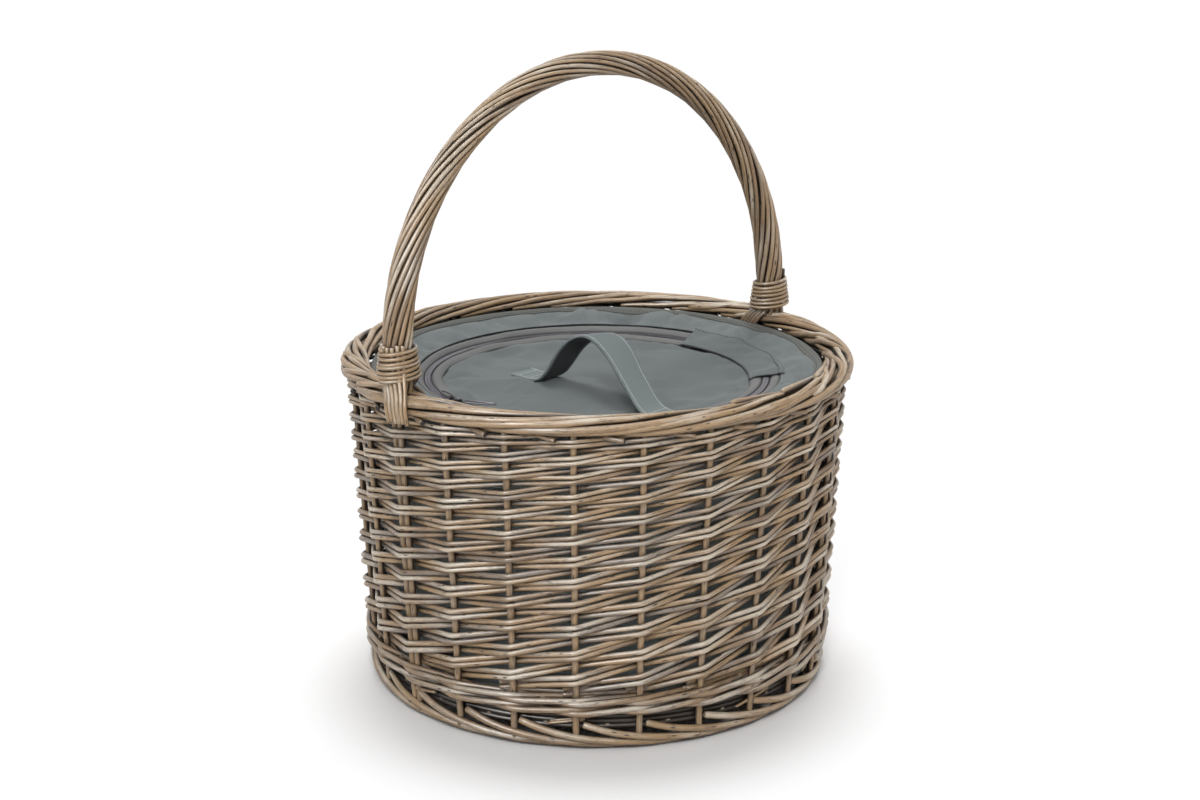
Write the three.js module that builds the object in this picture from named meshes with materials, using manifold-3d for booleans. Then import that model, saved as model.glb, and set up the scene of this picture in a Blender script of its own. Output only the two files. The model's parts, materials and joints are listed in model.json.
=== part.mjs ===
// Willow chiller basket: a round woven basket with a fixed bow handle and a zipped, insulated liner.
// Millimetres, +Z up, origin on the floor under the middle, the handle spans along X.
import * as THREE from 'three';
import { mergeVertices } from 'three/addons/utils/BufferGeometryUtils.js';
import Module from 'manifold-3d';

const wasm = await Module();
wasm.setup();

// Clearances
const seat = 0.3;              // between pieces that touch
const weaverGap = 0.6;         // between one weaver and the next above it
const tieGap = 0.6;            // between the border and the ties bent round it

// Willow frame
const basketHeight = 260;      // floor to the top of the border
const borderOuterRadius = 200;
const borderWidth = 24;        // across the rolled border, seen from above
const borderHeight = 21;
const stakeLean = 1.8;         // how far the stake tops stand outside the border's middle
const stakeFlare = 13.2;       // how much wider the circle of stakes is up there than at the floor
const stakeCount = 24;
const stakeDiameter = 5.2;
const twinSpacing = 6.6;       // the doubled stakes below each handle foot
const socketDepth = 15;        // handle bow let into the border

// Foot, base and weave
const footHeight = 15;
const footWidth = 16;
const footOverhang = 4.8;      // foot border outside the stake circle
const footBevel = 4;
const baseThickness = 8;
const baseStickWidth = 8;
const baseStickHeight = 6;
const baseStickPairs = 3;
const waleDrop = 12;           // open stakes between the foot border and the wale
const waleRods = 3;
const waleHeight = 6.2;
const waleDepth = 5;
const strokeCount = 24;        // stakes that each weaver passes on its way up
const strokeTaper = 1.6;       // lowest rise of a stroke over the highest
const weaverDepthLow = 4.2;
const weaverDepthTop = 3.3;

// Handle
const bowDiameter = 12;
const handleInset = 1;         // handle legs inside the border's middle
const archLegs = 26;           // straight legs above the border
const archRise = 192.5;        // spring line to the middle of the bundle at the top
const bundleFoot = 23.4;       // bundle diameter at the legs
const bundleTop = 18.6;        // and at the top of the arch
const bundleRods = 10;
const rodGroove = 1.1;         // depth of the valleys between the rods
const bundleTwist = 1.1;       // turns from foot to foot
const caneDiameter = 3.2;      // binding round each foot
const caneTurns = 6;
const canePitch = 3.85;
const caneFlare = 1.8;         // how much wider the lowest turn is
const tieWidth = 20;
const tieThickness = 3.2;
const outerTieArc = [-50, 40];    // degrees round the border's section
const innerTieArc = [140, 164];

// Liner
const bagFlare = 8.6;          // tub wider at its top than at its foot
const bagInset = 1;            // top of the tub inside the hem's outer edge
const clothThickness = 1.2;
const foamThickness = 6;
const foamBaseThickness = 8;
const liningThickness = 0.8;
const hemGap = 0.4;            // between the hem and the border
const hemRise = 1;             // top of the hem above the border's middle
const hemWidth = 3.4;
const hemHeight = 6;
const collarThickness = 1.5;
const collarWidth = 29.1;      // hem to zip, seen from above
const collarTuck = 2;          // collar below the top of the hem
const collarDrop = 11.7;       // hem side of the collar down to the zip
const flangeReach = 19;        // lining turned in under the collar

// Zip, lid and strap
const teethGap = 1.2;
const teethWidth = 3.4;
const teethHeight = 2;
const tapeThickness = 0.8;
const tapeWidth = 10.5;        // meeting line to the sewn edge
const tapeSetback = 1.4;       // tape behind the tips of the teeth
const zipEndGap = 0.3;         // degrees between the zip and the hinge patch
const hingeAzimuth = -15;      // middle of the cloth hinge
const hingeHalfAngle = 29;
const hingeGap = 0.5;          // from the lid's edge to the hinge line, and to the zip tape beyond it
const lidEdge = 3.1;           // sewn edge of the lid without foam
const lidDip = 6.8;            // lid surface below the zip
const lidSlopeWidth = 26.5;
const lidFoamThickness = 6.6;
const strapCentre = [-20, -17];
const strapAzimuth = 96.5;
const strapSpan = 112;         // between the sewn feet
const strapRise = 44;
const strapWidth = 24;
const strapThickness = 2;
const strapFoot = 12;

// Zip sliders and pulls
const meetAzimuth = 178;       // where the two sliders meet when closed
const sliderLength = 10;
const sliderWidth = 9;
const sliderPlate = 1.4;
const sliderPost = 0.6;
const noseGap = 1;
const bailLength = 6;
const bailWidth = 2.2;
const bailBar = 1.1;
const pullWire = 1.5;
const pullWidth = 6.4;
const pullLength = 26;

// Facets
const wideFacets = 54;
const linerFacets = 40;
const zipFacets = 76;          // round a full turn of the zip
const archSteps = 34;
const caneSteps = 20;
const bendSteps = 8;
const strapSteps = 16;

const degree = Math.PI / 180;

// Materials
const willow = (colour) => new THREE.MeshStandardMaterial({ color: colour, roughness: 0.75, metalness: 0 });
const willowMaterial = willow(0x8b7355);
const willowPaleMaterial = willow(0xa58e6c);
const willowDarkMaterial = willow(0x74604a);
const cloth = (colour) => new THREE.MeshStandardMaterial({ color: colour, roughness: 0.9, metalness: 0 });
const clothMaterial = cloth(0x6f7b84);
const hemMaterial = cloth(0x4a4c46);
const tapeMaterial = cloth(0x8a8781);
const foamMaterial = cloth(0xd9d9d4);
const liningMaterial = new THREE.MeshStandardMaterial({ color: 0xc4c8cb, roughness: 0.35, metalness: 0.6 });
const teethMaterial = new THREE.MeshStandardMaterial({ color: 0x55575a, roughness: 0.5, metalness: 0 });
const sliderMaterial = new THREE.MeshStandardMaterial({ color: 0x2c2d30, roughness: 0.4, metalness: 0.7 });

const basket = new THREE.Group();

function piece(name, geometry, material) {
  const mesh = new THREE.Mesh(geometry, material);
  mesh.name = name;
  basket.add(mesh);
  return mesh;
}

// Geometry helpers
function at(radius, angle, z) {
  return new THREE.Vector3(radius * Math.cos(angle), radius * Math.sin(angle), z);
}

function signedVolume(points, faces) {
  const a = new THREE.Vector3();
  const b = new THREE.Vector3();
  const c = new THREE.Vector3();
  let sum = 0;
  for (let i = 0; i < faces.length; i += 3) {
    a.fromBufferAttribute(points, faces[i]);
    b.fromBufferAttribute(points, faces[i + 1]);
    c.fromBufferAttribute(points, faces[i + 2]);
    sum += a.dot(b.cross(c));
  }
  return sum;
}

function closedBody(source) {
  const bare = source.clone();
  bare.deleteAttribute('normal');
  bare.deleteAttribute('uv');
  const welded = mergeVertices(bare);
  const index = welded.index.array;
  const faces = [];
  for (let i = 0; i < index.length; i += 3) {
    const [a, b, c] = [index[i], index[i + 1], index[i + 2]];
    if (a !== b && b !== c && c !== a) faces.push(a, b, c);
  }
  if (signedVolume(welded.attributes.position, faces) < 0) faces.reverse();
  welded.setIndex(faces);
  welded.computeVertexNormals();
  return welded;
}

function bodyOf(points, faces) {
  const geometry = new THREE.BufferGeometry();
  geometry.setAttribute('position', new THREE.Float32BufferAttribute(points.flatMap((p) => p.toArray()), 3));
  geometry.setIndex(faces);
  return closedBody(geometry);
}

// Skin over a row of equal rings of points, joined end to end or capped
function loft(rings, joined) {
  const size = rings[0].length;
  const points = rings.flat();
  const faces = [];
  const spans = joined ? rings.length : rings.length - 1;
  for (let i = 0; i < spans; i += 1) {
    const here = i * size;
    const next = ((i + 1) % rings.length) * size;
    for (let j = 0; j < size; j += 1) {
      const k = (j + 1) % size;
      faces.push(here + j, here + k, next + k, here + j, next + k, next + j);
    }
  }
  if (!joined) {
    [[0, 1], [rings.length - 1, 0]].forEach(([ring, turned]) => {
      const centre = new THREE.Vector3();
      rings[ring].forEach((p) => centre.addScaledVector(p, 1 / size));
      points.push(centre);
      for (let j = 0; j < size; j += 1) {
        const pair = [ring * size + j, ring * size + ((j + 1) % size)];
        if (turned) pair.reverse();
        faces.push(points.length - 1, pair[0], pair[1]);
      }
    });
  }
  return bodyOf(points, faces);
}

function turned(profile, facets) {
  const outline = profile.map(([r, z]) => new THREE.Vector2(r, z));
  const open = profile[0][0] === 0 && profile[profile.length - 1][0] === 0;
  if (!open) outline.push(outline[0].clone());
  return closedBody(new THREE.LatheGeometry(outline, facets).rotateX(Math.PI / 2));
}

// Flat ring sector between two radii and two azimuths in degrees; an arc has two facets per segment
function sector(inner, outer, from, to, low, high) {
  const shape = new THREE.Shape();
  shape.absarc(0, 0, outer, from * degree, to * degree, false);
  shape.absarc(0, 0, inner, to * degree, from * degree, true);
  const curveSegments = Math.ceil(zipFacets * (to - from) / 360 / 2);
  const flat = new THREE.ExtrudeGeometry(shape, { depth: high - low, bevelEnabled: false, curveSegments });
  return closedBody(flat.translate(0, 0, low));
}

function block(x, y, z) {
  const size = [x, y, z].map(([low, high]) => high - low);
  const middle = [x, y, z].map(([low, high]) => (low + high) / 2);
  return closedBody(new THREE.BoxGeometry(...size).translate(...middle));
}

function solidOf(geometry) {
  const vertProperties = new Float32Array(geometry.attributes.position.array);
  const triVerts = new Uint32Array(geometry.index.array);
  return new wasm.Manifold(new wasm.Mesh({ numProp: 3, vertProperties, triVerts }));
}

function geometryOf(solid) {
  const mesh = solid.getMesh();
  const geometry = new THREE.BufferGeometry();
  geometry.setAttribute('position', new THREE.BufferAttribute(mesh.vertProperties, 3));
  geometry.setIndex(new THREE.BufferAttribute(mesh.triVerts, 1));
  return closedBody(geometry);
}

function joinedBody(geometries, cuts = []) {
  let solid = geometries.map(solidOf).reduce((whole, next) => whole.add(next));
  cuts.forEach((cut) => {
    solid = solid.subtract(solidOf(cut));
  });
  return geometryOf(solid);
}

// Round section square to a path, one ring of points per path point
function roundRing(centre, across, up, radius, sides) {
  return Array.from({ length: sides }, (_, j) => {
    const angle = 2 * Math.PI * j / sides;
    const point = centre.clone().addScaledVector(across, radius * Math.cos(angle));
    return point.addScaledVector(up, radius * Math.sin(angle));
  });
}

// Stakes and border
const borderRadius = borderOuterRadius - borderWidth / 2;
const borderMiddle = basketHeight - borderHeight / 2;
const borderBottom = basketHeight - borderHeight;
const borderInner = borderOuterRadius - borderWidth;
const stakeFootRadius = borderRadius + stakeLean - stakeFlare;
const stakeSlope = stakeFlare / borderMiddle;
const stakeRadius = (z) => stakeFootRadius + stakeSlope * z;
const stakeStep = 2 * Math.PI / stakeCount;
const isTwin = (k) => (k % (stakeCount / 2)) === 0;
const footTop = footHeight;
const handleReach = borderRadius - handleInset;

function stake(angle, sideways) {
  const across = new THREE.Vector3(-Math.sin(angle), Math.cos(angle), 0);
  const out = new THREE.Vector3(Math.cos(angle), Math.sin(angle), 0);
  const rings = [footTop + seat, borderMiddle].map((z) => {
    const centre = at(stakeRadius(z), angle, z).addScaledVector(across, sideways);
    return roundRing(centre, out, across, stakeDiameter / 2, 6);
  });
  return loft(rings, false);
}

function borderSection(sides) {
  return Array.from({ length: sides }, (_, j) => {
    const angle = 2 * Math.PI * j / sides;
    const radius = borderRadius + borderWidth / 2 * Math.cos(angle);
    return [radius, borderMiddle + borderHeight / 2 * Math.sin(angle)];
  });
}

function stakesAndBorder() {
  const stakes = [];
  for (let k = 0; k < stakeCount; k += 1) {
    const places = isTwin(k) ? [-twinSpacing / 2, twinSpacing / 2] : [0];
    places.forEach((sideways) => stakes.push(stake(k * stakeStep, sideways)));
  }
  const bore = bowDiameter / 2 + seat;
  const socket = new THREE.CylinderGeometry(bore, bore, socketDepth * 2, 12).rotateX(Math.PI / 2);
  const sockets = [-1, 1].map((side) => {
    const place = socket.clone().translate(side * handleReach, 0, basketHeight);
    return closedBody(place);
  });
  return joinedBody([turned(borderSection(10), wideFacets), ...stakes], sockets);
}

piece('stakes_and_border', stakesAndBorder(), willowMaterial);

// Foot border, base and wale
const footOuter = stakeRadius(0) + footOverhang;
const footInner = footOuter - footWidth;
const footProfile = [
  [footInner + footBevel, 0],
  [footOuter - footBevel, 0],
  [footOuter, footBevel],
  [footOuter, footHeight - footBevel],
  [footOuter - footBevel / 2, footTop],
  [footInner, footTop],
  [footInner, footBevel],
];
piece('foot_border', turned(footProfile, wideFacets), willowPaleMaterial);

const baseLow = footTop + seat;
const baseTop = baseLow + baseThickness;
const baseRadius = stakeRadius(footTop) - stakeDiameter / 2 - 2 * seat;
const baseProfile = [[0, baseLow], [baseRadius, baseLow], [baseRadius, baseTop], [0, baseTop]];
piece('base_weave', turned(baseProfile, linerFacets), willowMaterial);

function baseSticks() {
  const reach = footInner * Math.cos(Math.PI / wideFacets) - seat;
  const spread = 2 * baseStickWidth;
  const sticks = [];
  for (let i = 0; i < baseStickPairs; i += 1) {
    const offset = (i - (baseStickPairs - 1) / 2) * spread;
    const half = Math.sqrt(reach ** 2 - (Math.abs(offset) + baseStickWidth / 2) ** 2);
    const side = [offset - baseStickWidth / 2, offset + baseStickWidth / 2];
    const level = [footTop - baseStickHeight, footTop];
    sticks.push(block([-half, half], side, level), block(side, [-half, half], level));
  }
  return joinedBody(sticks);
}

piece('base_sticks', baseSticks(), willowDarkMaterial);

// Section of a rod where it passes stake k, on its outside (1) or its inside (-1)
function passing(k, side, z, depth, height) {
  const radius = stakeRadius(z);
  const swing = stakeDiameter + 2 * seat + depth + radius * (1 - Math.cos(stakeStep));
  const slant = Math.cos(Math.atan2(swing, radius * Math.sin(stakeStep)));
  const spare = isTwin(k) ? twinSpacing / 4 : 0;
  const middle = radius + side * ((stakeDiameter / 2 + seat) / slant + depth / 2 + spare);
  const corners = [[1, -1], [1, 1], [-1, 1], [-1, -1]];
  return corners.map(([r, h]) => at(middle + r * depth / 2, k * stakeStep, z + h * height / 2));
}

// Wale: closed rods, each outside two stakes and inside the third
const waleLow = footTop + waleDrop;
for (let i = 0; i < waleRods; i += 1) {
  const z = waleLow + waleHeight / 2 + i * (waleHeight + seat);
  const rings = [];
  for (let k = 0; k < stakeCount; k += 1) {
    const side = (k + i) % 3 === 0 ? -1 : 1;
    rings.push(passing(k, side, z, waleDepth, waleHeight));
  }
  piece(`wale_rod_${i + 1}`, loft(rings, true), willowDarkMaterial);
}

// Side weave: one weaver starts behind each stake and climbs one level per stake, in front and behind in turn
const weaveLow = waleLow + waleRods * (waleHeight + seat) - seat + weaverGap;
const weaveHigh = borderBottom - weaverGap;
const meanRise = (weaveHigh - weaveLow) / strokeCount;
const riseSpread = (strokeTaper - 1) / (strokeTaper + 1);
const levels = [];
let levelFloor = weaveLow;
for (let m = 0; m < strokeCount; m += 1) {
  const share = m / (strokeCount - 1);
  const rise = meanRise * (1 + riseSpread * (1 - 2 * share));
  const depth = weaverDepthLow + (weaverDepthTop - weaverDepthLow) * share;
  const side = m % 2 === 0 ? -1 : 1;
  levels.push({ side, z: levelFloor + rise / 2, depth, height: rise - weaverGap });
  levelFloor += rise;
}
for (let j = 0; j < stakeCount; j += 1) {
  const rings = levels.map(({ side, z, depth, height }, m) => passing(j + m, side, z, depth, height));
  const material = j % 2 === 0 ? willowMaterial : willowPaleMaterial;
  piece(`weaver_${String(j + 1).padStart(2, '0')}`, loft(rings, false), material);
}

// Handle: a bow let into the border, with twisted rods laid round it
const archSpring = basketHeight + archLegs;

class HandleArch extends THREE.Curve {
  constructor(footZ) {
    super();
    this.footZ = footZ;
  }

  getPoint(t, target = new THREE.Vector3()) {
    const leg = archSpring - this.footZ;
    const curve = Math.PI * (handleReach + archRise) / 2;
    const along = t * (2 * leg + curve);
    if (along < leg) return target.set(-handleReach, 0, this.footZ + along);
    if (along > leg + curve) return target.set(handleReach, 0, this.footZ + 2 * leg + curve - along);
    const angle = Math.PI * (1 - (along - leg) / curve);
    return target.set(handleReach * Math.cos(angle), 0, archSpring + archRise * Math.sin(angle));
  }
}

function bow(extra, footZ) {
  const path = new HandleArch(footZ);
  const rings = [];
  for (let i = 0; i <= archSteps; i += 1) {
    const point = path.getPointAt(i / archSteps);
    const tangent = path.getTangentAt(i / archSteps);
    const up = new THREE.Vector3(0, 1, 0).cross(tangent);
    rings.push(roundRing(point, new THREE.Vector3(0, 1, 0), up, bowDiameter / 2 + extra, 8));
  }
  return loft(rings, false);
}

function bundle(footZ) {
  const path = new HandleArch(footZ);
  const rings = [];
  for (let i = 0; i <= archSteps; i += 1) {
    const t = i / archSteps;
    const point = path.getPointAt(t);
    const up = new THREE.Vector3(0, 1, 0).cross(path.getTangentAt(t));
    const top = Math.sin(Math.PI * t);
    const outer = (bundleFoot + (bundleTop - bundleFoot) * top) / 2;
    const ring = [];
    for (let j = 0; j < 2 * bundleRods; j += 1) {
      const angle = Math.PI * j / bundleRods + 2 * Math.PI * bundleTwist * t;
      const radius = j % 2 === 0 ? outer : outer - rodGroove;
      const across = new THREE.Vector3(0, radius * Math.cos(angle), 0);
      ring.push(point.clone().add(across).addScaledVector(up, radius * Math.sin(angle)));
    }
    rings.push(ring);
  }
  return loft(rings, false);
}

const socketFloor = basketHeight - socketDepth;
piece('handle_bow', bow(0, socketFloor + seat), willowDarkMaterial);
const bundleBody = joinedBody([bundle(basketHeight + seat)], [bow(seat, socketFloor + seat)]);
piece('handle_rods', bundleBody, willowMaterial);

// Cane wound round each handle foot, one unbroken rod that widens towards the border
function caneWinding() {
  const radius = caneDiameter / 2;
  const low = basketHeight + seat + radius + canePitch / 2;
  const inner = bundleFoot / 2 + seat + radius;
  const total = caneTurns * caneSteps;
  const spine = [];
  for (let i = 0; i <= total; i += 1) {
    const turn = i / caneSteps;
    const reach = inner + caneFlare * (1 - turn / caneTurns);
    spine.push(at(reach / Math.cos(Math.PI / caneSteps), 2 * Math.PI * turn, low + canePitch * turn));
  }
  const lead = spine[0].clone().sub(spine[1]).setLength(caneDiameter);
  const tail = spine[total].clone().sub(spine[total - 1]).setLength(caneDiameter);
  spine.unshift(spine[0].clone().add(lead));
  spine.push(spine[spine.length - 1].clone().add(tail));
  const rings = spine.map((point, i) => {
    const before = spine[Math.max(i - 1, 0)];
    const after = spine[Math.min(i + 1, spine.length - 1)];
    const tangent = after.clone().sub(before).normalize();
    const out = new THREE.Vector3(point.x, point.y, 0).projectOnPlane(tangent).normalize();
    return roundRing(point, out, tangent.clone().cross(out), radius, 6);
  });
  return rings;
}

function leastGap(rings) {
  const apart = Math.round(caneSteps / 2);
  let least = Infinity;
  for (let i = 0; i < rings.length; i += 1) {
    for (let j = i + apart; j < Math.min(i + 2 * caneSteps, rings.length); j += 1) {
      rings[i].forEach((p) => rings[j].forEach((q) => {
        least = Math.min(least, p.distanceTo(q));
      }));
    }
  }
  return least;
}

const caneRings = caneWinding();
console.log(`least gap between turns of the cane winding: ${leastGap(caneRings).toFixed(2)} mm`);
[['left', -1], ['right', 1]].forEach(([name, side]) => {
  const cane = piece(`${name}_binding`, loft(caneRings, false), willowPaleMaterial);
  cane.position.x = side * handleReach;
  if (side < 0) cane.rotation.z = Math.PI;
});

// Ties of split rods bent over the border below each binding
function tie([from, to], side) {
  const edge = (gap) => Array.from({ length: bendSteps + 1 }, (_, i) => {
    const angle = (from + (to - from) * i / bendSteps) * degree;
    const radius = borderRadius + (borderWidth / 2 + gap) * Math.cos(angle);
    return new THREE.Vector2(side * radius, borderMiddle + (borderHeight / 2 + gap) * Math.sin(angle));
  });
  const outline = [...edge(tieGap), ...edge(tieGap + tieThickness).reverse()];
  const band = new THREE.ExtrudeGeometry(new THREE.Shape(outline), { depth: tieWidth, bevelEnabled: false });
  return closedBody(band.rotateX(Math.PI / 2).translate(0, tieWidth / 2, 0));
}

[['left', -1], ['right', 1]].forEach(([name, side]) => {
  piece(`${name}_outer_tie`, tie(outerTieArc, side), willowPaleMaterial);
  piece(`${name}_inner_tie`, tie(innerTieArc, side), willowPaleMaterial);
});

// Liner: cloth tub, foam, foil lining, hem and sloping collar
const hemOuter = borderInner - hemGap;
const hemInner = hemOuter - hemWidth;
const hemTop = borderMiddle + hemRise;
const hemLow = hemTop - hemHeight;
const bagLow = baseTop + seat;
const bagHigh = hemLow - seat;
const bagTopRadius = hemOuter - bagInset;
const bagFootRadius = bagTopRadius - bagFlare;
const bagSlope = bagFlare / (bagHigh - bagLow);
const bagRadius = (z) => bagFootRadius + bagSlope * (z - bagLow);
const bagProfile = [
  [0, bagLow],
  [bagFootRadius, bagLow],
  [bagTopRadius, bagHigh],
  [bagTopRadius - clothThickness, bagHigh],
  [bagFootRadius - clothThickness, bagLow + clothThickness],
  [0, bagLow + clothThickness],
];
piece('bag_outer', turned(bagProfile, linerFacets), clothMaterial);

const foamLow = bagLow + clothThickness + seat;
const foamFloor = foamLow + foamBaseThickness;
const clothGap = clothThickness + seat;
const foamDisc = bagRadius(foamLow) - clothGap;
const foamBaseProfile = [[0, foamLow], [foamDisc, foamLow], [foamDisc, foamFloor], [0, foamFloor]];
piece('bag_foam_base', turned(foamBaseProfile, linerFacets), foamMaterial);

const foamHigh = bagHigh - clothThickness;
const foamRing = (z, inset) => [bagRadius(z) - clothGap - inset, z];
const foamWallLow = foamFloor + seat;
const foamWallProfile = [
  foamRing(foamWallLow, 0),
  foamRing(foamHigh, 0),
  foamRing(foamHigh, foamThickness),
  foamRing(foamWallLow, foamThickness),
];
piece('bag_foam_wall', turned(foamWallProfile, linerFacets), foamMaterial);

const collarOuter = hemInner - seat;
const collarInner = collarOuter - collarWidth;
const collarHigh = hemTop - collarTuck;
const zipPlane = collarHigh - collarDrop;
const collarSlope = collarDrop / collarWidth;
const collarUnder = (radius) => zipPlane - collarThickness + collarSlope * (radius - collarInner);
const collarProfile = [
  [collarInner, zipPlane],
  [collarOuter, collarHigh],
  [collarOuter, collarHigh - collarThickness],
  [collarInner, zipPlane - collarThickness],
];
piece('bag_collar', turned(collarProfile, linerFacets), clothMaterial);

const hemBevel = hemWidth / 3;
const hemProfile = [
  [hemInner, hemLow],
  [hemOuter, hemLow],
  [hemOuter, hemTop - hemBevel],
  [hemOuter - hemBevel, hemTop],
  [hemInner + hemBevel, hemTop],
  [hemInner, hemTop - hemBevel],
];
piece('bag_hem', turned(hemProfile, linerFacets), hemMaterial);

const liningFoot = bagRadius(foamWallLow) - clothGap - foamThickness - seat;
const liningHead = bagRadius(foamHigh) - clothGap - foamThickness - seat;
const flangeInner = liningHead - flangeReach;
const flangeTop = (radius) => collarUnder(radius) - 2 * seat;
const liningProfile = [
  [0, foamWallLow],
  [liningFoot, foamWallLow],
  [liningHead, flangeTop(liningHead)],
  [flangeInner, flangeTop(flangeInner)],
  [flangeInner, flangeTop(flangeInner) - liningThickness],
  [liningHead - liningThickness, flangeTop(liningHead) - 2 * liningThickness],
  [liningFoot - liningThickness, foamWallLow + liningThickness],
  [0, foamWallLow + liningThickness],
];
piece('bag_lining', turned(liningProfile, linerFacets), liningMaterial);

// Zip: a tape and a row of teeth on each side of the line where they meet, stopped at the cloth hinge
const zipRadius = collarInner - seat - tapeWidth;
const zipFrom = hingeAzimuth + hingeHalfAngle + zipEndGap;
const zipTo = hingeAzimuth - hingeHalfAngle - zipEndGap + 360;
const tapeHigh = zipPlane - collarThickness - seat;
const tapeLow = tapeHigh - tapeThickness;
const teethLow = tapeHigh + seat;
const teethTop = teethLow + teethHeight;
const tapeStart = teethGap / 2 + tapeSetback;

function zipSide(name, side) {
  const band = (near, far, low, high) => {
    const edges = [zipRadius + side * near, zipRadius + side * far].sort((a, b) => a - b);
    return sector(edges[0], edges[1], zipFrom, zipTo, low, high);
  };
  piece(`${name}_zip_tape`, band(tapeStart, tapeWidth, tapeLow, tapeHigh), tapeMaterial);
  const teeth = band(teethGap / 2, teethGap / 2 + teethWidth, teethLow, teethTop);
  piece(`${name}_zip_teeth`, teeth, teethMaterial);
}

zipSide('collar', 1);
zipSide('lid', -1);

const lidRadius = zipRadius - tapeWidth - 2 * hingeGap;
const patchInner = lidRadius + hingeGap;
const patchFrom = hingeAzimuth - hingeHalfAngle;
const patchTo = hingeAzimuth + hingeHalfAngle;
const patchOuter = collarInner * Math.cos(Math.PI / linerFacets) - seat;
const patch = sector(patchInner, patchOuter, patchFrom, patchTo, zipPlane - collarThickness, zipPlane);
piece('hinge_patch', patch, clothMaterial);

// Lid: cloth panel dished below the zip, foam and lining
const lidTop = zipPlane - lidDip;
const lidFlat = lidRadius - lidSlopeWidth;
const lidSlope = lidDip / lidSlopeWidth;
const lidUnder = (radius) => lidTop - collarThickness + Math.max(0, radius - lidFlat) * lidSlope;
const lidProfile = [
  [0, lidTop],
  [lidFlat, lidTop],
  [lidRadius, zipPlane],
  [lidRadius, lidUnder(lidRadius)],
  [lidFlat, lidUnder(lidFlat)],
  [0, lidUnder(0)],
];
piece('lid_top', turned(lidProfile, linerFacets), clothMaterial);

const lidFoamRadius = lidRadius - lidEdge;
const lidFoamLow = lidUnder(0) - seat - lidFoamThickness;
const lidFoamProfile = [
  [0, lidUnder(0) - seat],
  [lidFlat, lidUnder(lidFlat) - seat],
  [lidFoamRadius, lidUnder(lidFoamRadius) - seat],
  [lidFoamRadius, lidFoamLow],
  [0, lidFoamLow],
];
piece('lid_foam', turned(lidFoamProfile, linerFacets), foamMaterial);

const lidWallInner = lidFoamRadius + seat;
const lidWallOuter = lidWallInner + liningThickness;
const lidLiningTop = lidFoamLow - seat;
const lidWallHigh = lidUnder(lidWallInner) - seat;
const lidLiningProfile = [
  [0, lidLiningTop - liningThickness],
  [lidWallOuter, lidLiningTop - liningThickness],
  [lidWallOuter, lidWallHigh],
  [lidWallInner, lidWallHigh],
  [lidWallInner, lidLiningTop],
  [0, lidLiningTop],
];
piece('lid_lining', turned(lidLiningProfile, linerFacets), liningMaterial);

// Strap: webbing arched over the lid, its two feet sewn flat
function strap() {
  const half = strapSpan / 2;
  const low = lidTop + seat + strapThickness / 2;
  const spine = [[-half - strapFoot, low], [-half, low]];
  for (let i = 1; i < strapSteps; i += 1) {
    const angle = Math.PI * (1 - i / strapSteps);
    const rise = (strapRise - strapThickness) * Math.sin(angle);
    spine.push([half * Math.cos(angle), low + rise]);
  }
  spine.push([half, low], [half + strapFoot, low]);
  const rings = spine.map(([u, z], i) => {
    const before = spine[Math.max(i - 1, 0)];
    const after = spine[Math.min(i + 1, spine.length - 1)];
    const along = new THREE.Vector2(after[0] - before[0], after[1] - before[1]).normalize();
    const flat = i < 2 || i > spine.length - 3;
    const normal = flat ? [0, 1] : [-along.y, along.x];
    const corners = [[1, 1], [-1, 1], [-1, -1], [1, -1]];
    return corners.map(([w, h]) => new THREE.Vector3(
      u + h * normal[0] * strapThickness / 2,
      w * strapWidth / 2,
      z + h * normal[1] * strapThickness / 2,
    ));
  });
  return loft(rings, false);
}

const strapMesh = piece('lid_strap', strap(), clothMaterial);
strapMesh.position.set(strapCentre[0], strapCentre[1], 0);
strapMesh.rotation.z = strapAzimuth * degree;

// Sliders and pulls: built on the +X side, then turned to their place on the zip
const plateLow = teethTop + seat;
const plateTop = plateLow + sliderPlate;
const bailWindow = pullWire + 2 * seat;
const pivotZ = plateTop + bailWindow / 2;
const lowerTop = tapeLow - seat;

function slider() {
  const inner = zipRadius - sliderWidth / 2;
  const outer = zipRadius + sliderWidth / 2;
  const along = [-sliderLength / 2, sliderLength / 2];
  const postX = [zipRadius - sliderPost / 2, zipRadius + sliderPost / 2];
  const bailX = [zipRadius - bailWidth / 2, zipRadius + bailWidth / 2];
  const half = bailLength / 2;
  const bailTop = plateTop + bailWindow + bailBar;
  const sunk = plateTop - sliderPlate / 2;
  const blocks = [
    block([inner, outer], along, [plateLow, plateTop]),
    block(postX, [-sliderLength / 4, sliderLength / 4], [lowerTop - sliderPlate / 2, sunk]),
    block([inner, postX[1]], along, [lowerTop - sliderPlate, lowerTop]),
    block(bailX, [-half, -half + bailBar], [sunk, bailTop]),
    block(bailX, [half - bailBar, half], [sunk, bailTop]),
    block(bailX, [-half, half], [plateTop + bailWindow, bailTop]),
  ];
  return joinedBody(blocks);
}

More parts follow.
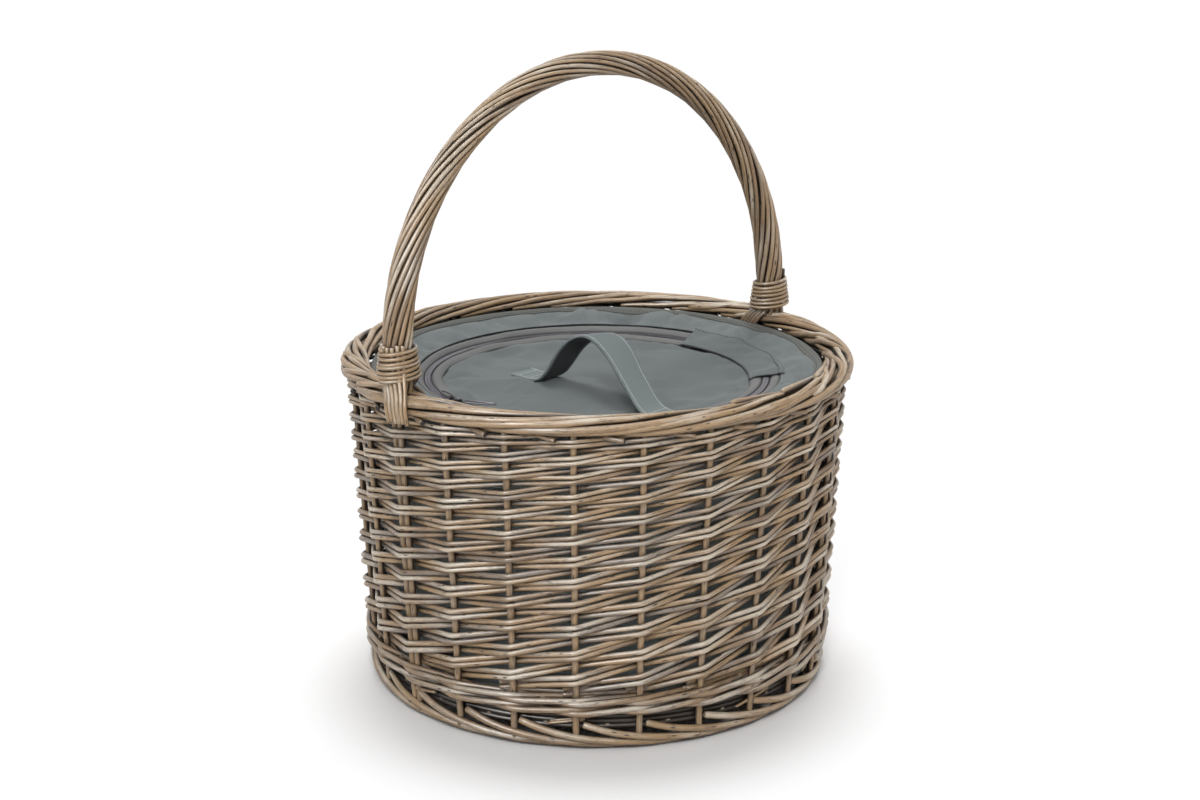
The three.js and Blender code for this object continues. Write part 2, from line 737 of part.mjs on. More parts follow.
// Wire loop through the bail, drooping until its far end lies just above the teeth
function pull(direction) {
  const radius = pullWire / 2;
  const half = pullWidth / 2 - radius;
  const reach = pullLength - pullWire - half;
  const drop = Math.asin((pivotZ - radius - teethTop - seat) / pullLength);
  const spine = [[-half, 0], [half, 0]];
  for (let i = 0; i <= bendSteps; i += 1) {
    const angle = Math.PI * i / bendSteps;
    spine.push([half * Math.cos(angle), reach + half * Math.sin(angle)]);
  }
  const rings = spine.map(([x, y], i) => {
    const before = spine[(i + spine.length - 1) % spine.length];
    const after = spine[(i + 1) % spine.length];
    const into = new THREE.Vector3(x - before[0], y - before[1], 0).normalize();
    const from = new THREE.Vector3(after[0] - x, after[1] - y, 0).normalize();
    const tangent = into.add(from).normalize();
    const across = new THREE.Vector3(tangent.y, -tangent.x, 0);
    return roundRing(new THREE.Vector3(x, y, 0), across, new THREE.Vector3(0, 0, 1), radius, 6);
  });
  const wire = loft(rings, true);
  wire.rotateX(-drop);
  if (direction < 0) wire.rotateZ(Math.PI);
  return wire.translate(zipRadius, 0, pivotZ);
}

const sliderStep = (sliderLength + noseGap) / 2 / zipRadius;
[['back', -1], ['front', 1]].forEach(([name, direction]) => {
  const turn = meetAzimuth * degree + direction * sliderStep;
  piece(`${name}_zip_slider`, slider(), sliderMaterial).rotation.z = turn;
  piece(`${name}_zip_pull`, pull(direction), sliderMaterial).rotation.z = turn;
});

export default basket;
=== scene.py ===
import json
import math

import bmesh
import bpy
import numpy as np
from mathutils import Matrix, Vector


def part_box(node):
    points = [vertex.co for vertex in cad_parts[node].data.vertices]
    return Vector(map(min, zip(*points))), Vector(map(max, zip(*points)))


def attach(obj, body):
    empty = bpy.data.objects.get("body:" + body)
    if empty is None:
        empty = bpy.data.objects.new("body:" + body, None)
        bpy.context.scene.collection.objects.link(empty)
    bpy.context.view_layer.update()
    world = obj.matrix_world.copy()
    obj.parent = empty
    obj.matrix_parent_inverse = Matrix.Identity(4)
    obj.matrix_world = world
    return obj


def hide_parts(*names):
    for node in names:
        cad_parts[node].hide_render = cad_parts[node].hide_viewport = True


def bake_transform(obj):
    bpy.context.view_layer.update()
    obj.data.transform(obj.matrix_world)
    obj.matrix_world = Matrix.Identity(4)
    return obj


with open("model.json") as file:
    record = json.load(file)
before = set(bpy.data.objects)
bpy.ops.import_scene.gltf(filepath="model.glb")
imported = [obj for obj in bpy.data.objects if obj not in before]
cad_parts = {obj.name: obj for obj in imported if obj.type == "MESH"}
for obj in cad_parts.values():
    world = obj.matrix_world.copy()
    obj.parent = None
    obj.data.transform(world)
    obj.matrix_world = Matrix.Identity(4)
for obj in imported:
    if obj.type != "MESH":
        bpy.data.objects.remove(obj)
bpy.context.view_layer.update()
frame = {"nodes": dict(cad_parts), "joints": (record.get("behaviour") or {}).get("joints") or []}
scene = bpy.context.scene
mm = 0.001
turn = 2 * math.pi
upward = np.array([0, 0, 1.0])


# node trees, for finishes and for geometry
class Wire:
    # a socket; sums and products of wires add Math nodes
    def __init__(self, graph, socket):
        self.graph = graph
        self.socket = socket

    def __add__(self, other):
        return self.graph.calc("ADD", self, other)

    __radd__ = __add__

    def __mul__(self, other):
        return self.graph.calc("MULTIPLY", self, other)

    __rmul__ = __mul__

    def __sub__(self, other):
        return self.graph.calc("SUBTRACT", self, other)

    def __rsub__(self, other):
        return self.graph.calc("SUBTRACT", other, self)


class Graph:
    def __init__(self, tree):
        self.tree = tree

    def node(self, kind, settings=None, sockets=None, out=0):
        made = self.tree.nodes.new(kind)
        for key, value in (settings or {}).items():
            setattr(made, key, value)
        for key, value in (sockets or {}).items():
            if isinstance(value, Wire):
                self.tree.links.new(value.socket, made.inputs[key])
            else:
                made.inputs[key].default_value = value
        return Wire(self, made.outputs[out]) if len(made.outputs) else made

    def calc(self, operation, *values):
        return self.node("ShaderNodeMath", {"operation": operation}, dict(enumerate(values)))

    def smooth(self, value, low, high):
        # nought up to low, one from high on
        span = {"Value": value, "From Min": low, "From Max": high}
        return self.node("ShaderNodeMapRange", {"interpolation_type": "SMOOTHSTEP"}, span)

    def mix(self, share, first, second, blend="MIX"):
        first, second = [(*c, 1) if isinstance(c, tuple) else c for c in (first, second)]
        settings = {"data_type": "RGBA", "blend_type": blend}
        return self.node("ShaderNodeMix", settings, {0: share, 6: first, 7: second}, out=2)

    def attribute(self, name, out="Fac"):
        return self.node("ShaderNodeAttribute", {"attribute_name": name}, out=out)

    def stretched(self, vector, scale):
        return self.node("ShaderNodeVectorMath", {"operation": "MULTIPLY"}, {0: vector, 1: scale})

    def noise(self, vector, scale, detail=3.0, roughness=0.55):
        wanted = {"Vector": vector, "Scale": scale, "Detail": detail, "Roughness": roughness}
        return self.node("ShaderNodeTexNoise", {}, wanted)

    def place(self):
        return self.node("ShaderNodeTexCoord", out="Object")

    def grey(self, shade, blueness=1.0):
        blue = shade if blueness == 1.0 else shade * blueness
        return self.node("ShaderNodeCombineXYZ", {}, {0: shade, 1: shade, 2: blue})

    def seen(self):
        # one for what the camera sees, also in gloss and through glass
        kinds = ("Camera", "Glossy", "Transmission")
        camera, glossy, through = [self.node("ShaderNodeLightPath", out=f"Is {kind} Ray") for kind in kinds]
        return self.calc("MINIMUM", camera + glossy + through, 1.0)


class Finish(Graph):
    def __init__(self, name):
        self.material = bpy.data.materials.new(name)
        self.material.use_nodes = True
        super().__init__(self.material.node_tree)
        self.tree.nodes.clear()

    def close(self, sockets, bump=None, bumpHeight=0.2 * mm, bumpStrength=0.6):
        if bump is not None:
            wanted = {"Height": bump, "Distance": bumpHeight, "Strength": bumpStrength}
            sockets["Normal"] = self.node("ShaderNodeBump", {}, wanted)
        surface = self.node("ShaderNodeBsdfPrincipled", {}, sockets)
        self.node("ShaderNodeOutputMaterial", {}, {"Surface": surface})
        return self.material


def geometryTree(name, inputs):
    tree = bpy.data.node_groups.new(name, "GeometryNodeTree")
    tree.interface.new_socket("Geometry", in_out="INPUT", socket_type="NodeSocketGeometry")
    for label, kind in inputs.items():
        tree.interface.new_socket(label, in_out="INPUT", socket_type=kind)
    tree.interface.new_socket("Geometry", in_out="OUTPUT", socket_type="NodeSocketGeometry")
    graph = Graph(tree)
    source = tree.nodes.new("NodeGroupInput")
    return graph, {socket.name: Wire(graph, socket) for socket in source.outputs if socket.name}


def grown(name, mesh, tree, values):
    # the plain mesh that a geometry tree makes of a mesh
    seed = bpy.data.objects.new(name + ".source", mesh)
    scene.collection.objects.link(seed)
    modifier = seed.modifiers.new("tree", "NODES")
    modifier.node_group = tree
    for item in tree.interface.items_tree:
        if item.in_out == "INPUT" and item.name in values:
            modifier[item.identifier] = values[item.name]
    graph = bpy.context.evaluated_depsgraph_get()
    made = bpy.data.meshes.new_from_object(seed.evaluated_get(graph), depsgraph=graph)
    bpy.data.objects.remove(seed)
    bpy.data.meshes.remove(mesh)
    piece = bpy.data.objects.new(name, made)
    made.name = name
    scene.collection.objects.link(piece)
    return piece


def jointPlace(name):
    return np.array(next(joint for joint in frame["joints"] if joint["name"] == name)["pos_m"])


def settle(piece, body, slot, *replaced):
    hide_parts(*replaced)
    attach(piece, body)
    return piece


def addOn(piece, body):
    # a piece that stands for no solid of its own
    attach(piece, body)


# rods: paths in millimetres that one tree turns into tubes
rodMake = {
    "ownGrain": 9.0,     # how far apart along the grain two rods may start, in metres
    "cutLength": 0.25,   # a worn cut's length and rim, as shares of the rod's radius
    "cutRim": 0.72,
    "roundness": 0.62,   # of an end worn round; one would close it to a point
}


def rodTree():
    inputs = {"Sides": "NodeSocketInt", "Finish": "NodeSocketMaterial"}
    graph, given = geometryTree("rodsAlongPaths", inputs)

    def stored(geometry, name, value, kind="FLOAT"):
        settings = {"data_type": kind, "domain": "POINT"}
        wanted = {"Geometry": geometry, "Name": name, "Value": value}
        return graph.node("GeometryNodeStoreNamedAttribute", settings, wanted)

    def named(name, kind="FLOAT"):
        return graph.node("GeometryNodeInputNamedAttribute", {"data_type": kind}, {"Name": name})

    line = graph.node("GeometryNodeMeshToCurve", {}, {"Mesh": given["Geometry"]})
    ring = graph.node("GeometryNodeCurvePrimitiveCircle", {}, {"Resolution": given["Sides"], "Radius": 1.0})
    ring = stored(ring, "around", graph.node("GeometryNodeSplineParameter"))
    wanted = {"Curve": line, "Profile Curve": ring, "Scale": named("thick"), "Fill Caps": True}
    tube = graph.node("GeometryNodeCurveToMesh", {}, wanted)
    angle = named("around") * turn
    across = graph.calc("COSINE", angle) * named("thick")
    over = graph.calc("SINE", angle) * named("thick")
    along = named("along") + named("seed") * rodMake["ownGrain"]
    grain = graph.node("ShaderNodeCombineXYZ", {}, {0: along, 1: across, 2: over})
    tube = stored(tube, "grain", grain, "FLOAT_VECTOR")
    # wearAndShade: how far a surface faces outwards; the willow finish puts more wash where it does, and
    # dark pigment with painted shade where it doesn't
    facing = {0: graph.node("GeometryNodeInputNormal"), 1: named("outward", "FLOAT_VECTOR")}
    facing = graph.node("ShaderNodeVectorMath", {"operation": "DOT_PRODUCT"}, facing, out="Value")
    tube = stored(tube, "wearAndShade", facing)
    tube = graph.node("GeometryNodeSetShadeSmooth", {}, {"Geometry": tube})
    tube = graph.node("GeometryNodeRealizeInstances", {}, {"Geometry": tube})
    tube = graph.node("GeometryNodeSetMaterial", {}, {"Geometry": tube, "Material": given["Finish"]})
    graph.node("NodeGroupOutput", {}, {"Geometry": tube})
    return graph.tree


class Rods:
    # rods of one piece: add paths, then make the piece; cut is 1 for pale ends and -1 for dark ones
    tree = None

    def __init__(self):
        self.points = []
        self.edges = []
        self.outward = []
        self.values = {"thick": [], "along": [], "seed": [], "tint": [], "proud": [], "tip": []}

    def add(self, path, radius, seed, tint=0.5, proud=0.5, outward=None, cut=1.0, bevel=True):
        path = np.asarray(path, float)
        radius = np.broadcast_to(np.asarray(radius, float), len(path)).copy()
        proud = np.broadcast_to(np.asarray(proud, float), len(path)).copy()
        outward = path * (1, 1, 0) if outward is None else np.broadcast_to(outward, path.shape)
        tip = np.zeros(len(path))
        if bevel:
            path, radius, proud, outward, tip = bevelled(path, radius, proud, outward, tip, cut)
        start = len(self.points)
        steps = np.linalg.norm(np.diff(path, axis=0), axis=1)
        self.points += [tuple(p * mm) for p in path]
        self.edges += [(start + i, start + i + 1) for i in range(len(path) - 1)]
        self.values["thick"] += list(radius * mm)
        self.values["along"] += list(np.concatenate([[0], np.cumsum(steps)]) * mm)
        self.values["seed"] += [seed] * len(path)
        self.values["tint"] += [tint] * len(path)
        self.values["proud"] += list(proud)
        self.values["tip"] += list(tip)
        self.outward += list(outward / np.linalg.norm(outward, axis=1, keepdims=True))

    def make(self, name, sides, finish):
        mesh = bpy.data.meshes.new(name)
        mesh.from_pydata(self.points, self.edges, [])
        for key, column in self.values.items():
            mesh.attributes.new(key, "FLOAT", "POINT").data.foreach_set("value", column)
        outward = mesh.attributes.new("outward", "FLOAT_VECTOR", "POINT")
        outward.data.foreach_set("vector", np.array(self.outward).ravel())
        Rods.tree = Rods.tree or rodTree()
        return grown(name, mesh, Rods.tree, {"Sides": sides, "Finish": finish})


def pastEnd(path, radius, end, before):
    away = path[end] - path[before]
    return path[end] + away / np.linalg.norm(away) * radius[end] * rodMake["cutLength"]


def bevelled(path, radius, proud, outward, tip, cut):
    # a cut end: the rim of the cut is worn round
    path = np.concatenate([[pastEnd(path, radius, 0, 1)], path, [pastEnd(path, radius, -1, -2)]])
    rim = rodMake["cutRim"]
    radius = np.concatenate([[radius[0] * rim], radius, [radius[-1] * rim]])
    proud = np.concatenate([proud[:1], proud, proud[-1:]])
    outward = np.concatenate([outward[:1], outward, outward[-1:]])
    tip = np.concatenate([[cut], tip, [cut]])
    return path, radius, proud, outward, tip


def roundEnd(path, radius):
    # a radius that swells from a rounded start
    run = np.concatenate([[0], np.cumsum(np.linalg.norm(np.diff(path, axis=0), axis=1))])
    return radius * np.sqrt(1 - np.clip(1 - run / radius, 0, rodMake["roundness"]) ** 2)


def polar(radius, angle, z):
    return np.array([radius * np.cos(angle), radius * np.sin(angle), z + 0 * radius]).T


def relaxed(path, rounds):
    path = np.array(path, float)
    for _ in range(rounds):
        path[1:-1] = (path[:-2] + 2 * path[1:-1] + path[2:]) / 4
    return path


def threaded(stops, shares, rounds):
    # straight runs between stops, bent round where they meet
    stops = np.asarray(stops, float)
    runs = [a + (b - a) * t for a, b in zip(stops[:-1], stops[1:]) for t in shares]
    return relaxed(runs + [stops[-1]], rounds)


def wander(rng, count, size, waves=5, pace=2.3):
    # a slow unevenness along a rod
    place = np.linspace(0, 1, count)
    total = np.zeros(count)
    for wave in range(1, waves + 1):
        total += rng.normal() / wave ** 0.5 * np.sin(turn * (wave * place * pace + rng.random()))
    return size * total / waves ** 0.5


# willow finish: brown rods, a pale wash left on what stands proud, a painted highlight on top sides and
# painted shade below; dark where they lie against each other, partly the wash's dark pigment and partly
# painted shade
willowLook = {
    # colours
    # deep: the knots' colour, also the hollows' dark pigment with painted shade
    "deep": (0.022, 0.015, 0.010),
    # dark: the blotches' colour, also painted shade on the rods' undersides
    "dark": (0.085, 0.056, 0.036),
    "brown": (0.215, 0.143, 0.086),
    "warm": (0.370, 0.245, 0.132),
    "grey": (0.245, 0.212, 0.184),
    # wash: the pale wash, also the colour of the painted highlight on the rods' top sides
    "wash": (0.610, 0.535, 0.432),
    "cut": (0.380, 0.310, 0.220),
    "cutDark": (0.016, 0.014, 0.013),
    # scale of each pattern along and across a rod, per metre
    "streakScale": (48, 1250, 1250),
    "patchScale": (16, 90, 90),
    "blotchScale": (110, 620, 620),
    "knotScale": (60, 250, 250),
    "knotSize": 0.17,
    # detail and roughness of the noise
    "streakNoise": (4.0, 0.68),
    "patchNoise": (2.0, 0.55),
    "blotchNoise": (4.0, 0.72),
    # how far a rod's own tint makes it warmer or greyer
    "tintWarmth": 0.45,
    "tintGreyness": 0.2,
    # what the wash stays on, with upper as a painted highlight on the rods' top sides; and what darkens the
    # hollows, the wash's dark pigment together with painted shade
    "washAndHighlightOn": {"patch": 0.9, "streak": 0.55, "wearAndShade": 0.12, "tint": 0.2, "upper": 0.14},
    "hollowBelow": 0.56,
    "hollowStreak": 0.6,
    # where each layer begins and where it is full
    "warmAt": (0.33, 0.66),
    "greyAt": (0.46, 0.62),
    "washAndHighlightAt": (1.06, 1.42),
    "blotchAt": (0.53, 0.68),
    # underShadeAt and underShadeCover: painted shade on the rods' undersides
    "underShadeAt": (0.05, 0.95),
    "knotAt": (0.0, 0.08),
    # hollowAt and hollowCover: darkening between the rods, partly dark pigment of the wash and partly
    # painted shade
    "hollowAt": (0.0, 0.75),
    "cutAt": (0.3, 0.9),
    # how well each layer covers those below it
    "washAndHighlightCover": 0.9,
    "blotchCover": 0.85,
    "blotchWorn": 0.25,   # less, where a rod stands proud
    "underShadeCover": 0.55,
    "knotCover": 0.9,
    "hollowCover": 0.92,
    "cutCover": 0.85,
    "cutDarkCover": 0.95,
    # gloss and relief
    "gloss": 0.45,
    "roughness": 0.29,
    "streakRoughness": 0.24,
    "relief": 0.3,
    "reliefShare": 0.75,
    "streakRelief": 0.7,
    "blotchRelief": 0.3,
}


def willowFinish(name, look, wash, greyed):
    f = Finish(name)
    grain = f.attribute("grain", out="Vector")
    tint = f.attribute("tint")
    proud = f.attribute("proud")
    wearAndShade = f.attribute("wearAndShade")
    tip = f.attribute("tip")
    facing = f.node("ShaderNodeNewGeometry", out="Normal")
    upper = f.node("ShaderNodeSeparateXYZ", {}, {0: facing}, out=2)
    streak = f.noise(f.stretched(grain, look["streakScale"]), 1.0, *look["streakNoise"])
    patch = f.noise(f.stretched(grain, look["patchScale"]), 1.0, *look["patchNoise"])
    blotch = f.noise(f.stretched(grain, look["blotchScale"]), 1.0, *look["blotchNoise"])
    wanted = {"Vector": f.stretched(grain, look["knotScale"]), "Scale": 1.0}
    knot = f.node("ShaderNodeTexVoronoi", {}, wanted)
    warm = f.smooth(streak + (tint - 0.5) * look["tintWarmth"], *look["warmAt"])
    body = f.mix(warm, look["brown"], look["warm"])
    grey = f.smooth(patch + (0.5 - tint) * look["tintGreyness"], *look["greyAt"])
    body = f.mix(grey * greyed, body, look["grey"])
    # pale wash where rubbed, worn and proud, plus a painted highlight on the top sides (upper)
    on = look["washAndHighlightOn"]
    rubbedAndLit = patch * on["patch"] + streak * on["streak"] + proud * wash
    rubbedAndLit = rubbedAndLit + wearAndShade * on["wearAndShade"] + tint * on["tint"] + upper * on["upper"]
    body = f.mix(f.smooth(rubbedAndLit, *look["washAndHighlightAt"]) * look["washAndHighlightCover"], body, look["wash"])
    spotted = look["blotchCover"] - proud * look["blotchWorn"]
    body = f.mix(f.smooth(blotch, *look["blotchAt"]) * spotted, body, look["dark"])
    # painted shade: the rods' undersides darker
    body = f.mix(f.smooth(0 - upper, *look["underShadeAt"]) * look["underShadeCover"], body, look["dark"])
    knotted = f.smooth(look["knotSize"] - knot, *look["knotAt"])
    body = f.mix(knotted * look["knotCover"], body, look["deep"])
    # dark where a surface faces away from outwards, between the rods: partly dark pigment of the wash,
    # partly painted shade
    hollow = look["hollowBelow"] - wearAndShade + (streak - 0.5) * look["hollowStreak"]
    hollow = f.smooth(hollow, *look["hollowAt"])
    body = f.mix(hollow * look["hollowCover"], body, look["deep"])
    body = f.mix(f.smooth(tip, *look["cutAt"]) * look["cutCover"], body, look["cut"])
    body = f.mix(f.smooth(0 - tip, *look["cutAt"]) * look["cutDarkCover"], body, look["cutDark"])
    rough = look["roughness"] + streak * look["streakRoughness"]
    height = streak * look["streakRelief"] + blotch * look["blotchRelief"]
    sockets = {"Base Color": body, "Roughness": rough, "Specular IOR Level": look["gloss"]}
    return f.close(sockets, height, look["relief"] * mm, look["reliefShare"])


weaveFinish = willowFinish("washedWillowWeave", willowLook, wash=0.32, greyed=0.7)
frameFinish = willowFinish("washedWillowFrame", willowLook, wash=0.16, greyed=0.3)
print("finishes made")

# willow frame: sizes in millimetres, as on the solids
willow = {
    "stakes": 24,
    "stakeRadius": 2.6,
    "footCircle": 176.6,
    "flare": 13.2,
    "flareHeight": 249.5,
    "twinSpacing": 6.6,
    "ringSteps": 145,
}
stakeStep = turn / willow["stakes"]


def circleAt(z):
    return willow["footCircle"] + willow["flare"] * z / willow["flareHeight"]


def isTwin(k):
    return k % (willow["stakes"] // 2) == 0


# side weave: a pair of rods starts behind each stake and climbs one level per stake
sideWeave = {
    "taper": 1.6,
    "buttRadius": 2.25,
    "tipRadius": 1.55,
    "radiusSpread": (0.92, 1.08),
    "pairGap": 0.40,
    "gapSpread": (0.5, 1.3),
    "kink": (0, 0.035, 0.085, 0.17, 0.34, 0.5, 0.66, 0.83, 0.915, 0.965),
    "kinkRounds": 2,
    "bow": 0.12,
    "unevenHeight": 0.35,
    "unevenReach": 0.25,
    "unevenRadius": 0.04,
    "buttRun": (0.25, 1.2),
    "longButts": 0.7,
    "buttTuck": (1.5, -2.5),   # outwards and up, as for the tip
    "tipRun": 0.9,
    "tipTuck": (1.0, 2.0),
    "twinSpare": 1.4,
    "topSpare": 5.0,
    "lowSpare": 4.5,
    "tints": (0.62, 0.38),
    "tintSpread": 0.2,
    "proudReach": 2.0,
    "seed": 11,
}


def weaveLevels():
    # the weavers' names and the middle height of each of their passes
    weavers = [n for n in frame["nodes"] if n.startswith("weaver_")]
    low = min(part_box(n)[0].z for n in weavers) / mm - sideWeave["lowSpare"]
    high = max(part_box(n)[1].z for n in weavers) / mm + sideWeave["topSpare"]
    count = len(weavers)
    spread = (sideWeave["taper"] - 1) / (sideWeave["taper"] + 1)
    share = np.arange(count) / (count - 1)
    rise = (high - low) / count * (1 + spread * (1 - 2 * share))
    return weavers, low + np.cumsum(rise) - rise / 2


def weaverStops(rng, j, rod, levels, thick):
    # where one rod of a pair passes the stakes, with its butt and its tip tucked in behind
    size = sideWeave
    count = len(levels)
    order = np.arange(count)
    z = levels + rod * (thick + size["pairGap"] * rng.uniform(*size["gapSpread"]))
    z = z + rng.normal(0, size["unevenHeight"], count)
    reach = willow["stakeRadius"] + thick + size["bow"] + rng.normal(0, size["unevenReach"], count)
    reach += np.array([size["twinSpare"] if isTwin(j + m) else 0 for m in range(count)])
    side = np.where(order % 2 == 0, -1, 1)
    stops = polar(circleAt(z) + side * reach, (j + order) * stakeStep, z)
    run = size["buttRun"][int(rng.random() < size["longButts"])]
    outward, lift = size["buttTuck"]
    butt = polar(circleAt(z[:1]) - reach[0] + outward, (j - run) * stakeStep, z[:1] + lift)
    outward, lift = size["tipTuck"]
    tipAngle = (j + count - 1 + size["tipRun"]) * stakeStep
    tip = polar(circleAt(z[-1:]) - reach[-1] + outward, tipAngle, z[-1:] + lift)
    return np.concatenate([butt, stops, tip])


def makeSideWeave():
    size = sideWeave
    rng = np.random.default_rng(size["seed"])
    weavers, levels = weaveLevels()
    count = len(levels)
    thick = np.linspace(size["buttRadius"], size["tipRadius"], count)
    rods = Rods()
    for j in range(willow["stakes"]):
        for rod in (-1, 1):
            path = threaded(weaverStops(rng, j, rod, levels, thick), size["kink"], size["kinkRounds"])
            path[:, 2] += wander(rng, len(path), size["unevenHeight"], waves=9)
            out = np.hypot(path[:, 0], path[:, 1]) - circleAt(path[:, 2])
            proud = np.clip(out / (willow["stakeRadius"] + size["proudReach"]) * 0.5 + 0.5, 0, 1)
            radius = np.interp(np.linspace(0, count - 1, len(path)), np.arange(count), thick)
            radius = radius * rng.uniform(*size["radiusSpread"])
            radius = radius * (1 + wander(rng, len(path), size["unevenRadius"], waves=12))
            seed = rng.random()
            tint = np.clip(size["tints"][j % 2] + rng.normal(0, size["tintSpread"]), 0, 1)
            rods.add(path, radius, seed, tint, proud)
    piece = rods.make("sideWeavers", sides=8, finish=weaveFinish)
    return settle(piece, "basket", "willow_weave", *weavers)


makeSideWeave()
print("side weave made")

# stakes, doubled below each handle foot
stake = {
    "low": 5.0,
    "high": 246.0,
    "unevenReach": 0.25,
    "unevenPlace": 0.4,
    "unevenRadius": 0.03,
    "radiusSpread": (0.95, 1.06),
    "tints": (0.35, 0.7),
    "proud": 0.38,
    "steps": 26,
    "seed": 5,
}


def makeStakes():
    size = stake
    rng = np.random.default_rng(size["seed"])
    rods = Rods()
    for k in range(willow["stakes"]):
        places = (-willow["twinSpacing"] / 2, willow["twinSpacing"] / 2) if isTwin(k) else (0,)
        for place in places:
            z = np.linspace(size["low"], size["high"], size["steps"])
            circle = circleAt(z) + wander(rng, len(z), size["unevenReach"])
            aside = place + wander(rng, len(z), size["unevenPlace"])
            path = polar(circle, k * stakeStep + aside / circle, z)
            radius = willow["stakeRadius"] * rng.uniform(*size["radiusSpread"])
            radius = radius * (1 + wander(rng, len(z), size["unevenRadius"]))
            rods.add(path, radius, rng.random(), rng.uniform(*size["tints"]), size["proud"])
    return rods


# rolled border: every stake top runs on for some spaces and winds once over the rim
topBorder = {
    "middle": 188.0,
    "height": 252.0,
    "across": 8.6,
    "up": 5.4,
    "from": -104.0,
    "perSpace": 46.0,
    "spaces": 7.1,
    "spacesSpread": (-0.25, 0.15),
    "buttRadius": 2.65,
    "tipRadius": 1.6,
    "taperCurve": 3,
    "radiusSpread": (0.88, 1.12),
    "unevenRadius": 0.04,
    "tints": (0.4, 0.95),
    "proud": 0.4,
    "steps": 72,
    "rise": 0.22,
    "riseHeight": 9.0,
    "riseLag": 0.04,
    "lift": 7.0,
    "uneven": 0.3,
    "core": 3.6,
    "seed": 23,
}

# tips of earlier stakes, that come out below the border
borderTip = {
    "place": 0.70,
    "placeSpread": (-0.06, 0.06),
    "run": 0.26,
    "out": (1.0, 7.4),
    "drop": (8.2, 9.4),
    "radius": 2.1,
    "radiusSpread": (0.85, 1.15),
    "steps": 7,
}

# thick rod ends on the inside of the rim, worn round
innerEnd = {
    "stakes": (17, 18, 19),
    "shift": 0.4,
    "radius": 2.8,
    "radiusSpread": (0.92, 1.06),
    "from": 100.0,
    "fromSpread": 4.0,
    "run": 1.5,
    "over": (2.0, 0.4),
    "tints": (0.6, 0.9),
    "steps": 26,
}

# some rods that cross over the others, both ends tucked in
crossingRod = {
    "places": (8.3, 9.1, 10.2, 11.0, 11.9, 18.9, 19.8, 20.7, 21.5, 22.6, 23.5),
    "from": 8.0,
    "fromSpread": 12.0,
    "turn": 205.0,
    "turnUneven": 5.0,
    "run": 2.1,
    "over": 2.3,
    "overCurve": 6,
    "tuck": 1.4,
    "radiusSpread": (0.8, 1.02),
    "tints": (0.4, 1.0),
    "steps": 34,
}


def borderPath(k, u, rng):
    # one stake top: it bends over, then winds round the border's section
    size = topBorder
    lift = rng.normal(0, size["lift"]) + wander(rng, len(u), size["lift"], waves=3)
    angle = np.radians(size["from"] + size["perSpace"] * u + lift)
    across = size["across"] + wander(rng, len(u), size["uneven"], waves=4)
    up = size["up"] + wander(rng, len(u), size["uneven"], waves=4)
    bend = np.clip(u / size["rise"], 0, 1)
    z = size["height"] + up * np.sin(angle) - size["riseHeight"] * (1 - bend) ** 2
    around = (k + u - size["riseLag"] * (1 - bend)) * stakeStep
    return polar(size["middle"] + across * np.cos(angle), around, z)


def overBorder(angle, over, around):
    # a path on the border's section, a little outside its rods
    size = topBorder
    z = size["height"] + (size["up"] + over) * np.sin(angle)
    return polar(size["middle"] + (size["across"] + over) * np.cos(angle), around, z)


def fromBorder(path):
    # the way out of the border's section at each point of a path
    away = path * (1, 1, 0)
    away = away / np.linalg.norm(away, axis=1, keepdims=True)
    return path - away * topBorder["middle"] - np.array([0, 0, topBorder["height"]])


def addStakeTops(rods, rng):
    size = topBorder
    for k in range(willow["stakes"]):
        u = np.linspace(0, size["spaces"] + rng.uniform(*size["spacesSpread"]), size["steps"])
        taper = (u / u[-1]) ** size["taperCurve"]
        radius = size["buttRadius"] + (size["tipRadius"] - size["buttRadius"]) * taper
        radius = radius * rng.uniform(*size["radiusSpread"])
        radius = radius * (1 + wander(rng, len(u), size["unevenRadius"], waves=8))
        path = relaxed(borderPath(k, u, rng), rounds=2)
        seed = rng.random()
        rods.add(path, radius, seed, rng.uniform(*size["tints"]), size["proud"], fromBorder(path))
        addBorderTip(rods, rng, k)


def addBorderTip(rods, rng, k):
    size = borderTip
    share = np.linspace(0, 1, size["steps"])
    place = size["run"] * (share - 1) + size["place"] + rng.uniform(*size["placeSpread"])
    out = topBorder["middle"] + np.interp(share, (0, 1), size["out"])
    low = topBorder["height"] - np.interp(share, (0, 1), size["drop"])
    path = polar(out, (k + place) * stakeStep, low)
    radius = size["radius"] * rng.uniform(*size["radiusSpread"])
    rods.add(path, radius, rng.random(), tint=0.4, proud=0.3, cut=-1.0)


def addInnerEnds(rods, rng):
    size = innerEnd
    first, last = size["over"]
    for k in size["stakes"]:
        u = np.linspace(0, size["run"], size["steps"])
        angle = size["from"] + topBorder["perSpace"] * u + rng.normal(0, size["fromSpread"])
        over = first + (last - first) * (u / size["run"]) ** 2
        path = overBorder(np.radians(angle), over, (k + size["shift"] + u) * stakeStep)
        radius = roundEnd(path, size["radius"] * rng.uniform(*size["radiusSpread"]))
        seed = rng.random()
        rods.add(path, radius, seed, rng.uniform(*size["tints"]), proud=0.7, outward=fromBorder(path))


def addCrossingRods(rods, rng):
    size = crossingRod
    u = np.linspace(0, 1, size["steps"])
    for k in size["places"]:
        angle = size["from"] + rng.normal(0, size["fromSpread"]) + size["turn"] * u
        angle = np.radians(angle + wander(rng, len(u), size["turnUneven"], waves=3))
        over = size["over"] * (1 - (2 * u - 1) ** size["overCurve"]) - size["tuck"]
        path = relaxed(overBorder(angle, over, (k + size["run"] * u) * stakeStep), rounds=3)
        radius = topBorder["buttRadius"] * rng.uniform(*size["radiusSpread"])
        seed = rng.random()
        rods.add(path, radius, seed, rng.uniform(*size["tints"]), proud=0.62, outward=fromBorder(path))


